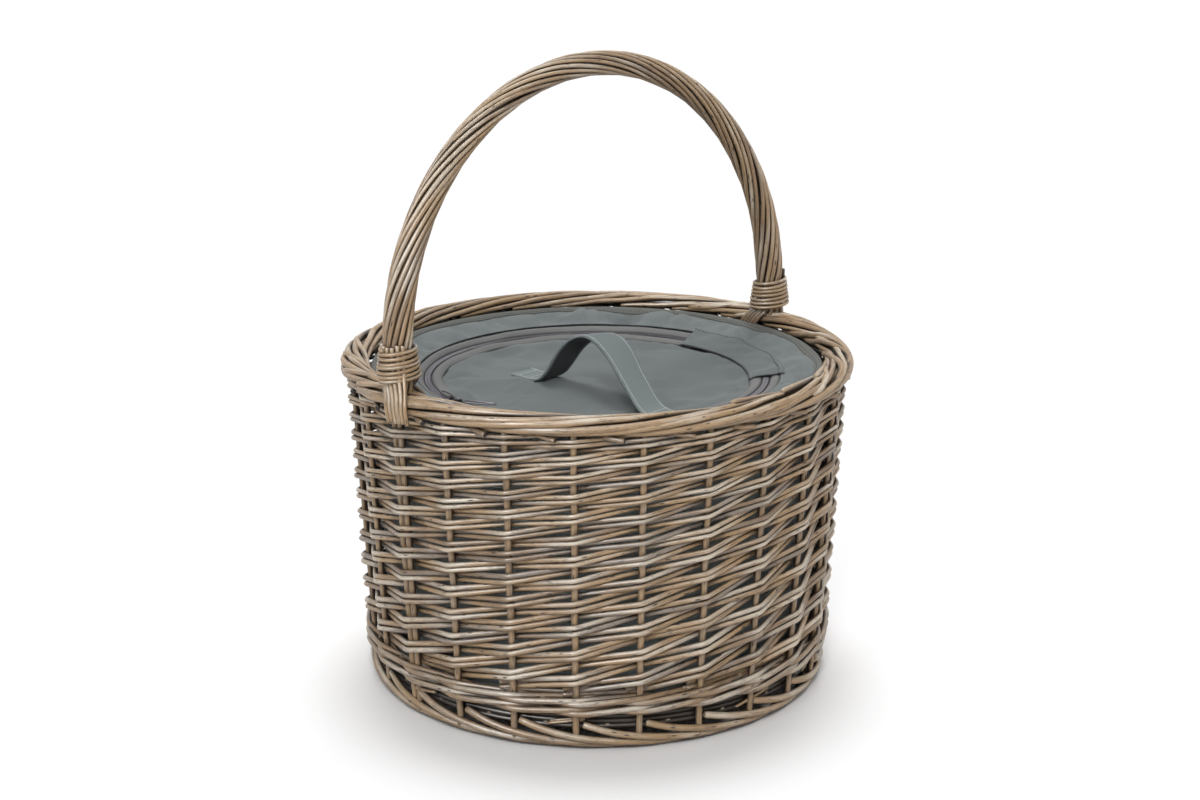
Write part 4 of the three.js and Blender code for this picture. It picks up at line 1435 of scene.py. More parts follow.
# silvery lining: broad and fine crinkles, with painted shade in the creases
foilLook = {
    "scales": (24.0, 85.0),
    "shares": (0.7, 0.3),
    "noiseRoughness": 0.6,
    "creaseReach": 0.5,
    "softScale": 14.0,
    "shade": 0.60,
    "softShade": 0.24,
    "creasePaintedShade": 0.14,
    "roughness": 0.28,
    "softRoughness": 0.2,
    "metallic": 0.85,
    "relief": 1.1,
    "reliefShare": 0.55,
}


def foilFinish(name):
    look = foilLook
    f = Finish(name)
    place = f.place()
    fields = [f.noise(place, scale, roughness=look["noiseRoughness"]) for scale in look["scales"]]
    folds = [f.calc("ABSOLUTE", field - 0.5) * 2 for field in fields]
    broad, fine = [f.smooth(fold, 0.0, look["creaseReach"]) for fold in folds]
    crinkle = broad * look["shares"][0] + fine * look["shares"][1]
    soft = f.noise(place, look["softScale"])
    # painted shade: paler away from the creases, darker in them
    base = look["shade"] + soft * look["softShade"] + crinkle * look["creasePaintedShade"]
    base = f.grey(base, blueness=1.01)
    rough = look["roughness"] + soft * look["softRoughness"]
    sockets = {"Base Color": base, "Roughness": rough, "Metallic": look["metallic"]}
    return f.close(sockets, crinkle, look["relief"] * mm, look["reliefShare"])


# zip tape finish: a painted shadow along both edges
def zipTapeFinish(name, width):
    return clothFinish(name, (0.150, 0.151, 0.149), thread=0.0012, ribbed=True, edgeShadowAcross=width)


lidFinish = clothFinish("greyCanvasLid", (0.121, 0.139, 0.140))
# painted light: the tub's canvas is about 1.8 times as pale as the collar's, to stand in for light where it
# shows in the shade between the rods
brightenedTubFinish = clothFinish("greyCanvasTub", (0.270, 0.305, 0.306))
strapFinish = clothFinish("greyWebbing", (0.158, 0.186, 0.187), thread=0.0011)
# painted shade: a dark sheet for the strap's shaded underside
shadeSheetFinish = clothFinish("darkBacking", (0.030, 0.031, 0.034), thread=0.0011)
hemFinish = clothFinish("oliveHemTape", (0.112, 0.115, 0.104), thread=0.0009, ribbed=True)
threadLook = {"roughness": 0.8, "grainScale": 2500.0, "relief": 0.05}
threadFinish = plainFinish("paleThread", (0.44, 0.47, 0.47), **threadLook)
darkThreadFinish = plainFinish("darkThread", (0.030, 0.033, 0.034), **threadLook)
coilLook = {"roughness": 0.5, "grainScale": 900.0, "relief": 0.05}
coilFinish = plainFinish("zipCoil", (0.085, 0.078, 0.094), **coilLook)
foamLook = {"roughness": 0.9, "grainScale": 700.0, "relief": 0.3}
foamFinish = plainFinish("paleFoam", (0.70, 0.70, 0.68), **foamLook)
liningFinish = foilFinish("silverLining")
metalLook = {"roughness": 0.46, "grainScale": 600.0, "relief": 0.03, "metallic": 0.9}
sliderFinish = plainFinish("gunmetal", (0.085, 0.083, 0.088), **metalLook)
print("cloth finishes made")

# liner: outer tub, foam, silvery lining
liner = {
    "footRadius": 166.0,
    "topRadius": 174.2,
    "low": 23.8,
    "high": 244.0,
    "cloth": 1.2,
    "foamGap": 0.3,
    "foam": 6.0,
    "lining": 0.8,
    "corner": 6.0,
    "padCorner": 2.5,
    "folds": 1.1,
    "foldsAround": (18, 60),
    "foldsLean": 0.02,
    "foldWaves": 6,
    "foldSum": 2.4,        # of the waves, where a fold is deepest
    "foilFolds": 2.2,
    "foilAround": (9, 40),
    "foilLean": 0.05,
    "foldsFrom": (150.0, 162.0),   # none on the floor, full on the wall
    "tuck": 7.0,
    "seed": 7,
}


def tubRadius(z, inset):
    share = (z - liner["low"]) / (liner["high"] - liner["low"])
    return liner["footRadius"] + (liner["topRadius"] - liner["footRadius"]) * share - inset


def tubProfile(inset, cloth, low, high):
    # outside from the middle of the floor up, then inside down again
    corner = liner["corner"]
    bend = low + corner
    outside = [(0, low), (tubRadius(low, inset) - corner, low), (tubRadius(bend, inset), bend)]
    outside += [(tubRadius(high, inset), high)]
    inner = inset + cloth
    inside = [(tubRadius(high, inner), high), (tubRadius(bend, inner), bend + cloth)]
    inside += [(tubRadius(low, inner) - corner, low + cloth), (0, low + cloth)]
    return dense(outside + inside, step=8)


def tubFolds(rng, depth, around, lean):
    # shallow upright folds in a tub's wall, none outwards
    count = liner["foldWaves"]
    ways = [(rng.integers(*around), rng.random() * turn, rng.uniform(-1, 1) * lean) for _ in range(count)]
    floorEnd, wallStart = liner["foldsFrom"]
    foldSum = liner["foldSum"]

    def wobble(radius, angle, z):
        wall = np.clip((radius - floorEnd) / (wallStart - floorEnd), 0, 1)
        field = sum(np.sin(n * angle + phase + z * slope) for n, phase, slope in ways) / foldSum
        return -depth * wall * (0.5 + 0.5 * np.clip(field, -1, 1)), 0 * z

    return wobble


def declareTub(inset, low, high):
    around = turn * tubRadius((low + high) / 2, inset) * mm
    tall = (high - low) * mm
    disc = tubRadius(low, inset) * mm
    cut = around * tall + math.pi * disc ** 2
    tall + 2 * disc


def makeLiner():
    size = liner
    rng = np.random.default_rng(size["seed"])
    profile = tubProfile(0, size["cloth"], size["low"], size["high"])
    folds = tubFolds(rng, size["folds"], size["foldsAround"], size["foldsLean"])
    tub = turned("linerTub", profile, count=288, finish=brightenedTubFinish, wobble=folds)
    settle(tub, "basket", "liner_cloth", "bag_outer")
    # foam pad on the floor
    outer = size["cloth"] + size["foamGap"] + size["folds"]
    low, high = (v.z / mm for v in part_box("bag_foam_base"))
    radius = tubRadius(low, outer)
    corner = size["padCorner"]
    pad = [(0, low), (radius - corner, low), (radius, low + corner), (radius, high - corner)]
    pad += [(radius - corner, high), (0, high)]
    piece = turned("foamBase", dense(pad, step=6), count=96, finish=foamFinish)
    settle(piece, "basket", "foam", "bag_foam_base")
    # foam wall
    low = high + size["foamGap"]
    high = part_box("bag_foam_wall")[1].z / mm - size["tuck"]
    inner = outer + size["foam"] - size["folds"]
    wall = [(tubRadius(low, outer), low), (tubRadius(high, outer), high)]
    wall += [(tubRadius(high, inner), high), (tubRadius(low, inner), low), wall[0]]
    piece = turned("foamWall", dense(wall, step=8)[:-1], count=128, finish=foamFinish)
    settle(piece, "basket", "foam", "bag_foam_wall")
    # silvery lining
    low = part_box("bag_lining")[0].z / mm
    profile = tubProfile(inner + size["foamGap"], size["lining"], low, high)
    folds = tubFolds(rng, size["foilFolds"], size["foilAround"], size["foilLean"])
    foil = turned("silverTub", profile, count=288, finish=liningFinish, wobble=folds)
    settle(foil, "basket", "foil_lining", "bag_lining")
    declareTub(0, size["low"], high)
    declareTub(inner, low, high)


makeLiner()

# zip: two tapes and two rows of coil teeth round the lid, open at the cloth hinge
zipRing = {
    "from": 13.0,
    "to": 317.0,
    "edge": 142.6,
    "edgeHeight": 236.8,
    "edgeSwell": (2.0, 20.0),
    "edgeLift": (2.6, 65.0),
    "collarTape": 135.0,
    "lidTape": (119.6, 129.0),
    "lidEdge": 233.7,
    "lidWave": (1.7, 0.3),
    "height": 235.9,
    "thick": 0.8,
    "crown": 1.9,
    "ripple": 0.45,
    "rippleWave": 42.0,
    "rippleCircle": 130.0,
    "rows": 11,
    "teethMiddle": 132.0,
    "tooth": (3.4, 1.15, 1.5),
    "pitch": 1.6,
    "toothOffset": 1.0,
    "toothHeight": 236.5,
    "toothSteps": 600,
    "columns": 300,
    "edgeWave": 64.0,
    "edgeWaveCircle": 120.0,
    "edgeWaveLimits": (-1.2, 0.5),
    "edgeSeed": 47,
    "collarSeed": 37,
    "lidSeed": 41,
}


def zipEdge(angle):
    # radius and height of the ring's outer edge
    swell, swellTo = zipRing["edgeSwell"]
    lift, liftTo = zipRing["edgeLift"]
    radius = zipRing["edge"] + swell * np.cos(angle - math.radians(swellTo))
    return radius, zipRing["edgeHeight"] + lift * (0.5 + 0.5 * np.cos(angle - math.radians(liftTo)))


# collar: sewn to the hem outside and to the zip tape inside, a little full
collar = {
    "outer": (172.4, 246.4),
    "tuck": 0.6,
    "over": 1.3,
    "calm": 0.16,
    "fold": 4.4,
    "foldWave": 50.0,
    "crease": 2.6,
    "creaseWave": 58.0,
    "creaseSharp": 0.3,
    "calmReach": 0.3,
    "waveCircle": 170.0,
    "fullness": 1.04,
    "colour": (0.149, 0.170, 0.171),
    "edgeShadowReach": 0.0012,
    "thick": 1.3,
    "rows": 15,
    "columns": 300,
    "slack": 0.06,
    "sag": 0.0,
    "cap": 2.6,
    "frames": 16,
    "seed": 17,
}


def makeCollar():
    size = collar
    rng = np.random.default_rng(size["seed"])
    angle = np.arange(size["columns"]) / size["columns"] * turn
    share = np.linspace(0, 1, size["rows"])[:, None]
    innerRadius, innerHeight = zipEdge(angle)
    innerRadius, innerHeight = innerRadius - size["tuck"], innerHeight + size["over"]
    radius = size["outer"][0] + (innerRadius - size["outer"][0]) * share
    z = size["outer"][1] + (innerHeight - size["outer"][1]) * share
    # no folds close to either seam
    calm = np.clip((share - size["calm"] / 2) / size["calmReach"], 0, 1)
    calm = calm * np.clip((1 - share) / size["calmReach"], 0, 1)
    crease = ringNoise(rng, size["waveCircle"], angle, size["creaseWave"])
    crease = size["crease"] * np.exp(-(crease / size["creaseSharp"]) ** 2)
    fold = size["fold"] * ringNoise(rng, size["waveCircle"], angle, size["foldWave"]) - crease
    z = z + np.sin(math.pi * share) * calm * fold
    grid = roundGrid(radius, angle, z)
    pinned = np.zeros(radius.shape, bool)
    pinned[0] = pinned[-1] = True
    settled = slackened(grid, True, pinned, size)
    grid = grid + (settled - grid) * calm[:, :, None]
    seam = spans(grid, 0)[-1] * mm
    # painted shadow along both edges of the collar
    finish = clothFinish("greyCanvasCollar", size["colour"], edgeShadowAcross=seam, edgeShadowReach=size["edgeShadowReach"])
    piece = sheet("collar", grid, size["thick"], True, finish)
    settle(piece, "basket", "liner_cloth", "bag_collar")
    around = turn * (size["outer"][0] + innerRadius.mean()) / 2 * size["fullness"]
    wide = math.dist(size["outer"], (innerRadius.mean(), innerHeight.mean())) * size["fullness"]
    around * mm
    wide * mm
    return grid


collarGrid = makeCollar()

# hem: a tape folded over the collar's edge, with an uneven lower edge and one line of stitches
hem = {
    "outside": (175.9, 243.4),
    "top": (174.7, 248.3),
    "width": 6.0,
    "uneven": 1.1,
    "wave": 46.0,
    "thick": 0.9,
    "proud": 1.0,
    "cut": 12.5,
    "rows": 12,
    "outsideShare": 0.4,   # of the tape's width, outside the fold
    "outsideUneven": 0.4,
    "roll": 1.6,
    "edgeShift": 40,
    "outsideCurve": 0.8,
    "stitchRow": 9,
    "stitch": (2.6, 0.6, 0.45),
    "stitchPitch": 3.4,
    "stitchProud": 0.1,
    "seed": 29,
}


def makeHem():
    size = hem
    rng = np.random.default_rng(size["seed"])
    angle = np.arange(collar["columns"]) / collar["columns"] * turn
    edge = ringNoise(rng, collar["waveCircle"], angle, size["wave"])
    collarRadius = np.hypot(collarGrid[:, :, 0], collarGrid[:, :, 1])
    (outRadius, outHeight), (topRadius, topHeight) = size["outside"], size["top"]
    width = size["width"] + size["uneven"] * np.roll(edge, size["edgeShift"])
    fold = size["outsideShare"]
    radius, z = [], []
    for place in np.linspace(0, 1, size["rows"]):
        if place < fold:
            rise = place / fold
            radius.append(outRadius + (topRadius - outRadius) * rise ** 2 + 0 * angle)
            climb = (topHeight - outHeight) * rise ** size["outsideCurve"]
            z.append(outHeight + climb + size["outsideUneven"] * edge)
        else:
            reach = (place - fold) / (1 - fold)
            at = topRadius - width * reach
            column = [np.interp(-r, -c, h) for r, c, h in zip(at, collarRadius.T, collarGrid[:, :, 2].T)]
            radius.append(at)
            z.append(np.array(column) + size["proud"] + size["roll"] * (1 - reach) ** 2)
    grid = roundGrid(np.array(radius), angle, np.array(z))
    piece = settle(sheet("hem", grid, size["thick"], True, hemFinish), "basket", "hem_tape", "bag_hem")
    seam = grid[size["stitchRow"]] + upward * (size["thick"] / 2 + size["stitchProud"])
    seam = np.concatenate([seam, seam[:1]])
    stitches = {"pitch": size["stitchPitch"], "size": size["stitch"], "finish": darkThreadFinish}
    addOn(beads("hemStitches", [seam], [upward], **stitches), "basket")


makeHem()
print("liner made")


def zipAngles(count):
    return np.radians(np.linspace(zipRing["from"], zipRing["to"], count))


def makeTape(name, body, node, outer, inner, seed):
    # outer and inner: radius and height of each edge
    size = zipRing
    rng = np.random.default_rng(seed)
    angle = zipAngles(size["columns"])
    share = np.linspace(0, 1, size["rows"])[:, None]
    crown = size["crown"] + size["ripple"] * ringNoise(rng, size["rippleCircle"], angle, size["rippleWave"])
    radius = outer[0] + (inner[0] - outer[0]) * share + 0 * angle
    z = outer[1] + (inner[1] - outer[1]) * share + crown * np.sin(math.pi * share)
    grid = roundGrid(radius, angle, z)
    finish = zipTapeFinish(f"{name}Cloth", spans(grid, 0)[-1] * mm)
    settle(sheet(name, grid, size["thick"], False, finish), body, "zip_tape", node)


def makeTeeth(name, body, node, side):
    # the two rows stand half a pitch apart
    size = zipRing
    angle = zipAngles(size["toothSteps"]) + side * size["pitch"] / size["teethMiddle"] / 4
    radius = size["teethMiddle"] + side * size["toothOffset"]
    path = polar(np.full(len(angle), radius), angle, size["toothHeight"])
    piece = beads(name, [path], [upward], size["pitch"], size["tooth"], coilFinish, across=True)
    settle(piece, body, "zip_teeth", node)


def lidTapeEdge(angle):
    # the lid's side of the ring, drawn in and out by the cloth
    size = zipRing
    rng = np.random.default_rng(size["edgeSeed"])
    wave = ringNoise(rng, size["edgeWaveCircle"], angle, size["edgeWave"])
    wave = np.clip(wave, *size["edgeWaveLimits"])
    inOut, upDown = size["lidWave"]
    return size["lidTape"][0] + inOut * wave, size["lidEdge"] + upDown * wave


def makeZip():
    size = zipRing
    angle = zipAngles(size["columns"])
    inner = (size["collarTape"], size["height"])
    makeTape("collarZipTape", "basket", "collar_zip_tape", zipEdge(angle), inner, size["collarSeed"])
    outer = (size["lidTape"][1], size["height"])
    makeTape("lidZipTape", "lid", "lid_zip_tape", outer, lidTapeEdge(angle), size["lidSeed"])
    makeTeeth("collarZipTeeth", "basket", "collar_zip_teeth", 1)
    makeTeeth("lidZipTeeth", "lid", "lid_zip_teeth", -1)


makeZip()
print("zip made")

# strap: sewn flat at both ends, standing up steeply on one side, leaning over and twisted at its crest
strap = {
    "middle": (-20.0, -17.0),
    "azimuth": 96.5,
    "width": 25.4,
    "thick": 1.6,
    "spine": [
        # along, aside and up
        (75, 0, 232.0), (68, 0, 231.4), (56, 0, 231.3), (47, 0, 232.0), (41, 0, 235.6), (36, -1, 242.4),
        (31.5, -2, 250.5), (27, -4, 259), (20, -7, 267), (10, -9.5, 272.8), (0, -10.5, 274.4),
        (-10, -10, 271.8), (-20, -8, 266.6), (-30, -4.5, 260.4), (-40, -0.5, 253.4), (-50, 3, 246.4),
        (-59, 6, 240.2), (-66, 8.5, 235.6), (-72, 10, 232.4), (-79, 11, 231.2), (-90, 12, 231),
    ],
    "shadeSheet": 0.5,
    "twist": -28.0,
    "twistReach": 28.0,
    "droop": 1.0,          # of its edges, where it stands free
    "droopFrom": (234.0, 254.0),
    "rows": 13,
    "steps": 110,
    "bendRounds": 14,
    "stitch": (2.3, 0.95, 0.55),
    "stitchPitch": 2.7,
    "stitchProud": 0.15,
    "stitchInset": 2.3,
    "bars": (3, 9, 14, -8, -3),
}


def strapFrame():
    heading = math.radians(strap["azimuth"])
    along = np.array([math.cos(heading), math.sin(heading), 0])
    return along, np.array([-along[1], along[0], 0])


def makeStrap():
    size = strap
    spine = np.array(size["spine"], float)
    way = np.concatenate([[0], np.cumsum(np.linalg.norm(np.diff(spine, axis=0), axis=1))])
    even = np.linspace(0, way[-1], size["steps"])
    line = np.stack([np.interp(even, way, spine[:, n]) for n in range(3)], 1)
    line = relaxed(line, size["bendRounds"])
    along, across = strapFrame()
    middle = np.array([*size["middle"], 0])
    spot = middle + line[:, :1] * along + line[:, 1:2] * across + line[:, 2:] * upward
    twist = np.radians(size["twist"]) * np.exp(-(line[:, :1] / size["twistReach"]) ** 2)
    wide = across * np.cos(twist) - along * np.sin(twist)
    share = np.linspace(-0.5, 0.5, size["rows"])
    grid = spot[None] + share[:, None, None] * size["width"] * wide[None]
    low, high = size["droopFrom"]
    lift = np.clip((line[:, 2] - low) / (high - low), 0, 1)
    grid[:, :, 2] -= size["droop"] * (2 * share[:, None]) ** 2 * lift
    piece = sheet("strap", grid, size["thick"], False, strapFinish)
    settle(piece, "lid", "liner_cloth", "lid_strap")
    normals = gridNormals(grid, False)
    # painted shade: a dark sheet under the strap stands for the shade on its underside
    normals = normals * np.sign(normals[:, :, 2].mean())
    under = grid - normals * (size["thick"] + size["shadeSheet"]) / 2
    addOn(sheet("strapShadeSheet", under[1:-1], size["shadeSheet"], False, shadeSheetFinish), "lid")
    face = grid + normals * (size["thick"] / 2 + size["stitchProud"])
    past = size["stitchInset"] / size["width"] * (size["rows"] - 1) - 1
    sides = [face[1] * (1 - past) + face[2] * past, face[-2] * (1 - past) + face[-3] * past]
    bars = [face[1:-1, n] for n in size["bars"]]
    ups = [normals[1], normals[-2]] + [normals[1:-1, n] for n in size["bars"]]
    thread = beads("strapStitches", sides + bars, ups, size["stitchPitch"], size["stitch"], threadFinish)
    addOn(thread, "lid")


makeStrap()

# lid: a cloth panel sewn to the zip tape and to the strap's feet, slack between, over a foam disc
lid = {
    "radius": 122.4,
    "edge": 233.9,
    "groove": 2.2,
    "seam": 3.0,
    "grooveWidth": 8.0,
    "flat": 94.0,
    "dip": 230.0,
    "riseCurve": 1.3,
    "feet": ((46.0, 75.0, 0.0), (-91.0, -76.0, 11.0)),   # along the strap from and to, and aside
    "footHalf": 12.0,
    "freeReach": 15.0,
    "swells": ((2.3, 78.0), (0.6, 32.0)),   # height and wave length
    "rimSwell": (1.7, 52.0),
    "rimCircle": 111.0,
    "rimMiddle": 108.0,
    "rimReach": 6.0,
    "fullness": 1.04,
    "cells": 72,
    "thick": 1.2,
    "slack": 0.03,
    "sag": 0.02,
    "cap": 2.2,
    "foamTop": ((0, 225.2), (92, 225.6), (113.4, 228.0), (116.4, 227.4)),
    "foamCorner": 2.0,
    "foamSpare": 1.0,
    "liningTop": 231.3,
    "liningUnder": (114.0, 120.5),   # where the lining's rim lies below the panel
    "frames": 18,
    "seed": 53,
}

# lining below the lid: a tray with a turned-up rim
lidTray = {
    "thick": 0.8,
    "corner": 5.0,
    "bend": (1.4, 1.6),
    "crinkle": 0.5,
    "crinkleWave": 44.0,
    "calmReach": 12.0,
    "lift": 0.4,
    "liftInset": 3.0,
    "rim": 12.0,
    "seed": 59,
}


def strapFeet(x, y):
    # the points of the panel that the strap's feet are sewn to
    along, across = strapFrame()
    fromX, fromY = x - strap["middle"][0], y - strap["middle"][1]
    u = fromX * along[0] + fromY * along[1]
    v = fromX * across[0] + fromY * across[1]
    sewn = np.zeros(x.shape, bool)
    for low, high, aside in lid["feet"]:
        sewn |= (u > low) & (u < high) & (np.abs(v - aside) < lid["footHalf"])
    return sewn


def makeLidPanel():
    size = lid
    rng = np.random.default_rng(size["seed"])
    x, y = discGrid(size["radius"], size["cells"])
    radius = np.hypot(x, y)
    share = np.clip((radius - size["flat"]) / (size["radius"] - size["flat"]), 0, 1)
    z = size["dip"] + (size["edge"] - size["dip"]) * share ** size["riseCurve"]
    roll = np.clip(1 - (size["radius"] - radius) / size["grooveWidth"], 0, 1)
    z = z - size["groove"] * roll ** 2
    feet = strapFeet(x, y)
    free = np.clip((size["radius"] - size["seam"] - radius) / size["freeReach"], 0, 1) * ~feet
    for height, wave in size["swells"]:
        z = z + free * height * softNoise(rng, x, y, wave)
    height, wave = size["rimSwell"]
    beside = np.exp(-((radius - size["rimMiddle"]) / size["rimReach"]) ** 2)
    onCircle = size["rimCircle"] / (radius + 1)
    z = z + beside * height * softNoise(rng, x * onCircle, y * onCircle, wave)
    grid = np.stack([x, y, z], 2)
    pinned = feet.copy()
    pinned[0] = pinned[-1] = True
    pinned[:, 0] = pinned[:, -1] = True
    grid = slackened(grid, False, pinned, size)
    # it rests on the foam and on the lining's rim
    rimFrom, rimTo = size["liningUnder"]
    lowest = np.interp(radius, *zip(*size["foamTop"]))
    lowest = np.where((radius > rimFrom) & (radius < rimTo), size["liningTop"], lowest)
    grid[:, :, 2] = np.maximum(grid[:, :, 2], lowest + size["thick"])
    piece = sheet("lidPanel", grid, size["thick"], False, lidFinish)
    settle(piece, "lid", "liner_cloth", "lid_top")
    cut = 2 * size["radius"] * size["fullness"] * mm
    math.pi * cut ** 2 / 4


def makeLidFoam():
    size = lid
    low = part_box("lid_foam")[0].z / mm
    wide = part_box("lid_foam")[1].x / mm - size["foamSpare"]
    corner = size["foamCorner"]
    pad = [(0, low), (wide - corner, low), (wide, low + corner), *size["foamTop"][::-1]]
    piece = turned("lidFoam", dense(pad, step=6), count=96, finish=foamFinish)
    settle(piece, "lid", "foam", "lid_foam")


def makeLidLining():
    size = lidTray
    low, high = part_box("lid_lining")[0].z / mm, lid["liningTop"]
    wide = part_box("lid_lining")[1].x / mm
    corner, thick = size["corner"], size["thick"]
    bendIn, bendUp = size["bend"]
    tray = [(0, low), (wide - corner, low), (wide - bendIn, low + bendUp), (wide, low + corner)]
    tray += [(wide, high), (wide - thick, high), (wide - thick, low + corner)]
    tray += [(wide - corner, low + thick), (0, low + thick)]

    def crinkle(radius, angle, z):
        field = ringNoise(np.random.default_rng(size["seed"]), radius, angle, size["crinkleWave"])
        calm = np.clip((wide - radius) / size["calmReach"], 0, 1)
        lift = size["lift"] * (radius < wide - size["liftInset"])
        return 0 * z, np.clip(field, -1, 1) * size["crinkle"] * calm + lift

    piece = turned("lidLining", dense(tray, step=5), count=192, finish=liningFinish, wobble=crinkle)
    settle(piece, "lid", "foil_lining", "lid_lining")
    cut = 2 * (wide + size["rim"]) * mm
    math.pi * cut ** 2 / 4


makeLidPanel()
makeLidFoam()
makeLidLining()
print("lid made")

# hinge patch: cloth over both zip ends
hingePatch = {
    "from": -44.5,
    "to": 14.5,
    "inner": 118.6,
    "innerHeight": 235.4,
    "outerSpare": 2.6,
    "outerRise": 2.4,
    "puff": 3.4,
    "puffUneven": 0.25,
    "puffWave": 34.0,
    "puffCurve": 0.6,
    "peak": 0.5,
    "crease": 0.9,
    "creaseWave": 20.0,
    "fullness": 1.06,
    "stitchRow": 4,
    "stitch": (1.5, 1.5, 0.9),
    "stitchPitch": 3.3,
    "stitchProud": 0.1,
    "colour": (0.118, 0.136, 0.137),
    "edgeShadowReach": 0.0016,
    "thick": 1.1,
    "rows": 25,
    "columns": 81,
    "seed": 67,
    "bendFrom": 130.0,
    "bendTo": 108.0,
}


def makeHingePatch():
    size = hingePatch
    rng = np.random.default_rng(size["seed"])
    angle = np.radians(np.linspace(size["from"], size["to"], size["columns"]))
    share = np.linspace(0, 1, size["rows"])[:, None]
    outer, outerHeight = zipEdge(angle)
    outer, outerHeight = outer + size["outerSpare"], outerHeight + size["outerRise"]
    radius = outer + (size["inner"] - outer) * share
    uneven = size["puffUneven"] * ringNoise(rng, radius, angle, size["puffWave"])
    plump = np.sin(math.pi * share ** size["peak"]) ** size["puffCurve"] * (1 - size["puffUneven"] + uneven)
    crease = ringNoise(rng, radius, angle, size["creaseWave"]) * size["crease"] * np.sin(math.pi * share)
    z = outerHeight + (size["innerHeight"] - outerHeight) * share + size["puff"] * plump + crease
    grid = roundGrid(radius, angle, z)
    seam = spans(grid, 0)[-1] * mm
    # painted shadow along both edges of the patch
    finish = clothFinish("greyCanvasPatch", size["colour"], edgeShadowAcross=seam, edgeShadowReach=size["edgeShadowReach"])
    piece = sheet("hingePatch", grid, size["thick"], False, finish)
    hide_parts("hinge_patch")
    wide = size["fullness"] * (outer.mean() - size["inner"])
    long = (angle[-1] - angle[0]) * (outer.mean() + size["inner"]) / 2
    wide * mm
    long * mm
    outline = grid[size["stitchRow"]] + upward * (size["thick"] / 2 + size["stitchProud"])
    stitches = {"pitch": size["stitchPitch"], "size": size["stitch"], "finish": darkThreadFinish}
    thread = beads("hingePatchStitches", [outline], [upward], **stitches)
    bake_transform(piece)
    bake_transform(thread)


makeHingePatch()
print("hinge made")

# zip sliders: a shield-shaped top plate and a lower plate, a neck between, a bail above that holds the pull
slider = {
    "runRadius": 132.0,
    "length": 9.0,
    "width": 7.6,
    "topLow": 237.5,
    "topHigh": 238.4,
    "underLow": 233.0,
    "underHigh": 234.0,
    "shield": ((-1.0, -0.55), (-0.4, -1.0), (0.55, -0.9), (1.0, -0.6)),   # of half the length and width
    "neckFrom": -0.75,
    "neckTo": -0.1,
    "neckHalf": 1.0,
    "sunk": 0.3,
    "bailTop": 242.0,
    "bailReach": 3.6,
    "bailSunk": 0.4,
    "bailAside": 0.55,
    "bailWire": 0.75,
    "bailCurve": 0.6,
    "bailSteps": 15,
    "bevel": 0.45,
    "pullLength": 26.0,
    "pullWidth": 6.2,
    "pullWire": 0.62,
    "pullSquare": 0.55,
    "pullNarrow": 0.3,
    "pullDrop": 1.4,
    "pullSteps": 60,
    "eyeSpare": 0.4,
    "eyeWidth": 0.72,
    "eyeCurve": 4,
    "pivot": 240.05,
    "swivel": {"front": 42.0, "back": 12.0},
}


def plate(solid, outline, low, high):
    bottom = [solid.verts.new((x * mm, y * mm, low * mm)) for x, y in outline]
    top = [solid.verts.new((x * mm, y * mm, high * mm)) for x, y in outline]
    solid.faces.new(bottom[::-1])
    solid.faces.new(top)
    for n in range(len(outline)):
        after = (n + 1) % len(outline)
        solid.faces.new((bottom[n], bottom[after], top[after], top[n]))


def sliderPlates():
    size = slider
    half, wide = size["length"] / 2, size["width"] / 2
    shield = [(x * half, y * wide) for x, y in size["shield"]]
    shield += [(x, -y) for x, y in shield[::-1]]
    back, front, aside = size["neckFrom"] * half, size["neckTo"] * half, size["neckHalf"]
    neck = [(back, -aside), (front, -aside), (front, aside), (back, aside)]
    solid = bmesh.new()
    plate(solid, shield, size["topLow"], size["topHigh"])
    plate(solid, shield, size["underLow"], size["underHigh"])
    plate(solid, neck, size["underHigh"] - size["sunk"], size["topLow"] + size["sunk"])
    bmesh.ops.recalc_face_normals(solid, faces=solid.faces)
    return solid


def makeSlider(name, middle, heading):
    size = slider
    solid = sliderPlates()
    solid.transform(Matrix.Translation(middle * mm) @ Matrix.Rotation(heading, 4, "Z"))
    mesh = bpy.data.meshes.new(f"{name}Slider")
    solid.to_mesh(mesh)
    solid.free()
    mesh.materials.append(sliderFinish)
    piece = bpy.data.objects.new(f"{name}Slider", mesh)
    scene.collection.objects.link(piece)
    bevel = piece.modifiers.new("bevel", "BEVEL")
    bevel.width = size["bevel"] * mm
    bevel.segments = 3
    settle(piece, f"{name}_slider", "slider_metal", f"{name}_zip_slider")


def makeBail(name, middle, along, across):
    # two wires side by side, bent over the slider
    size = slider
    swing = np.linspace(0, math.pi, size["bailSteps"])[:, None]
    low = size["topHigh"] - size["bailSunk"]
    rise = size["bailTop"] - size["bailWire"] - low
    height = low + rise * np.sin(swing) ** size["bailCurve"]
    bail = middle + along * np.cos(swing) * size["bailReach"] + upward * height
    wire = Rods()
    for aside in (-size["bailAside"], size["bailAside"]):
        wire.add(bail + across * aside, size["bailWire"], seed=0.2)
    piece = wire.make(f"{name}SliderBail", sides=8, finish=sliderFinish)
    addOn(piece, f"{name}_slider")


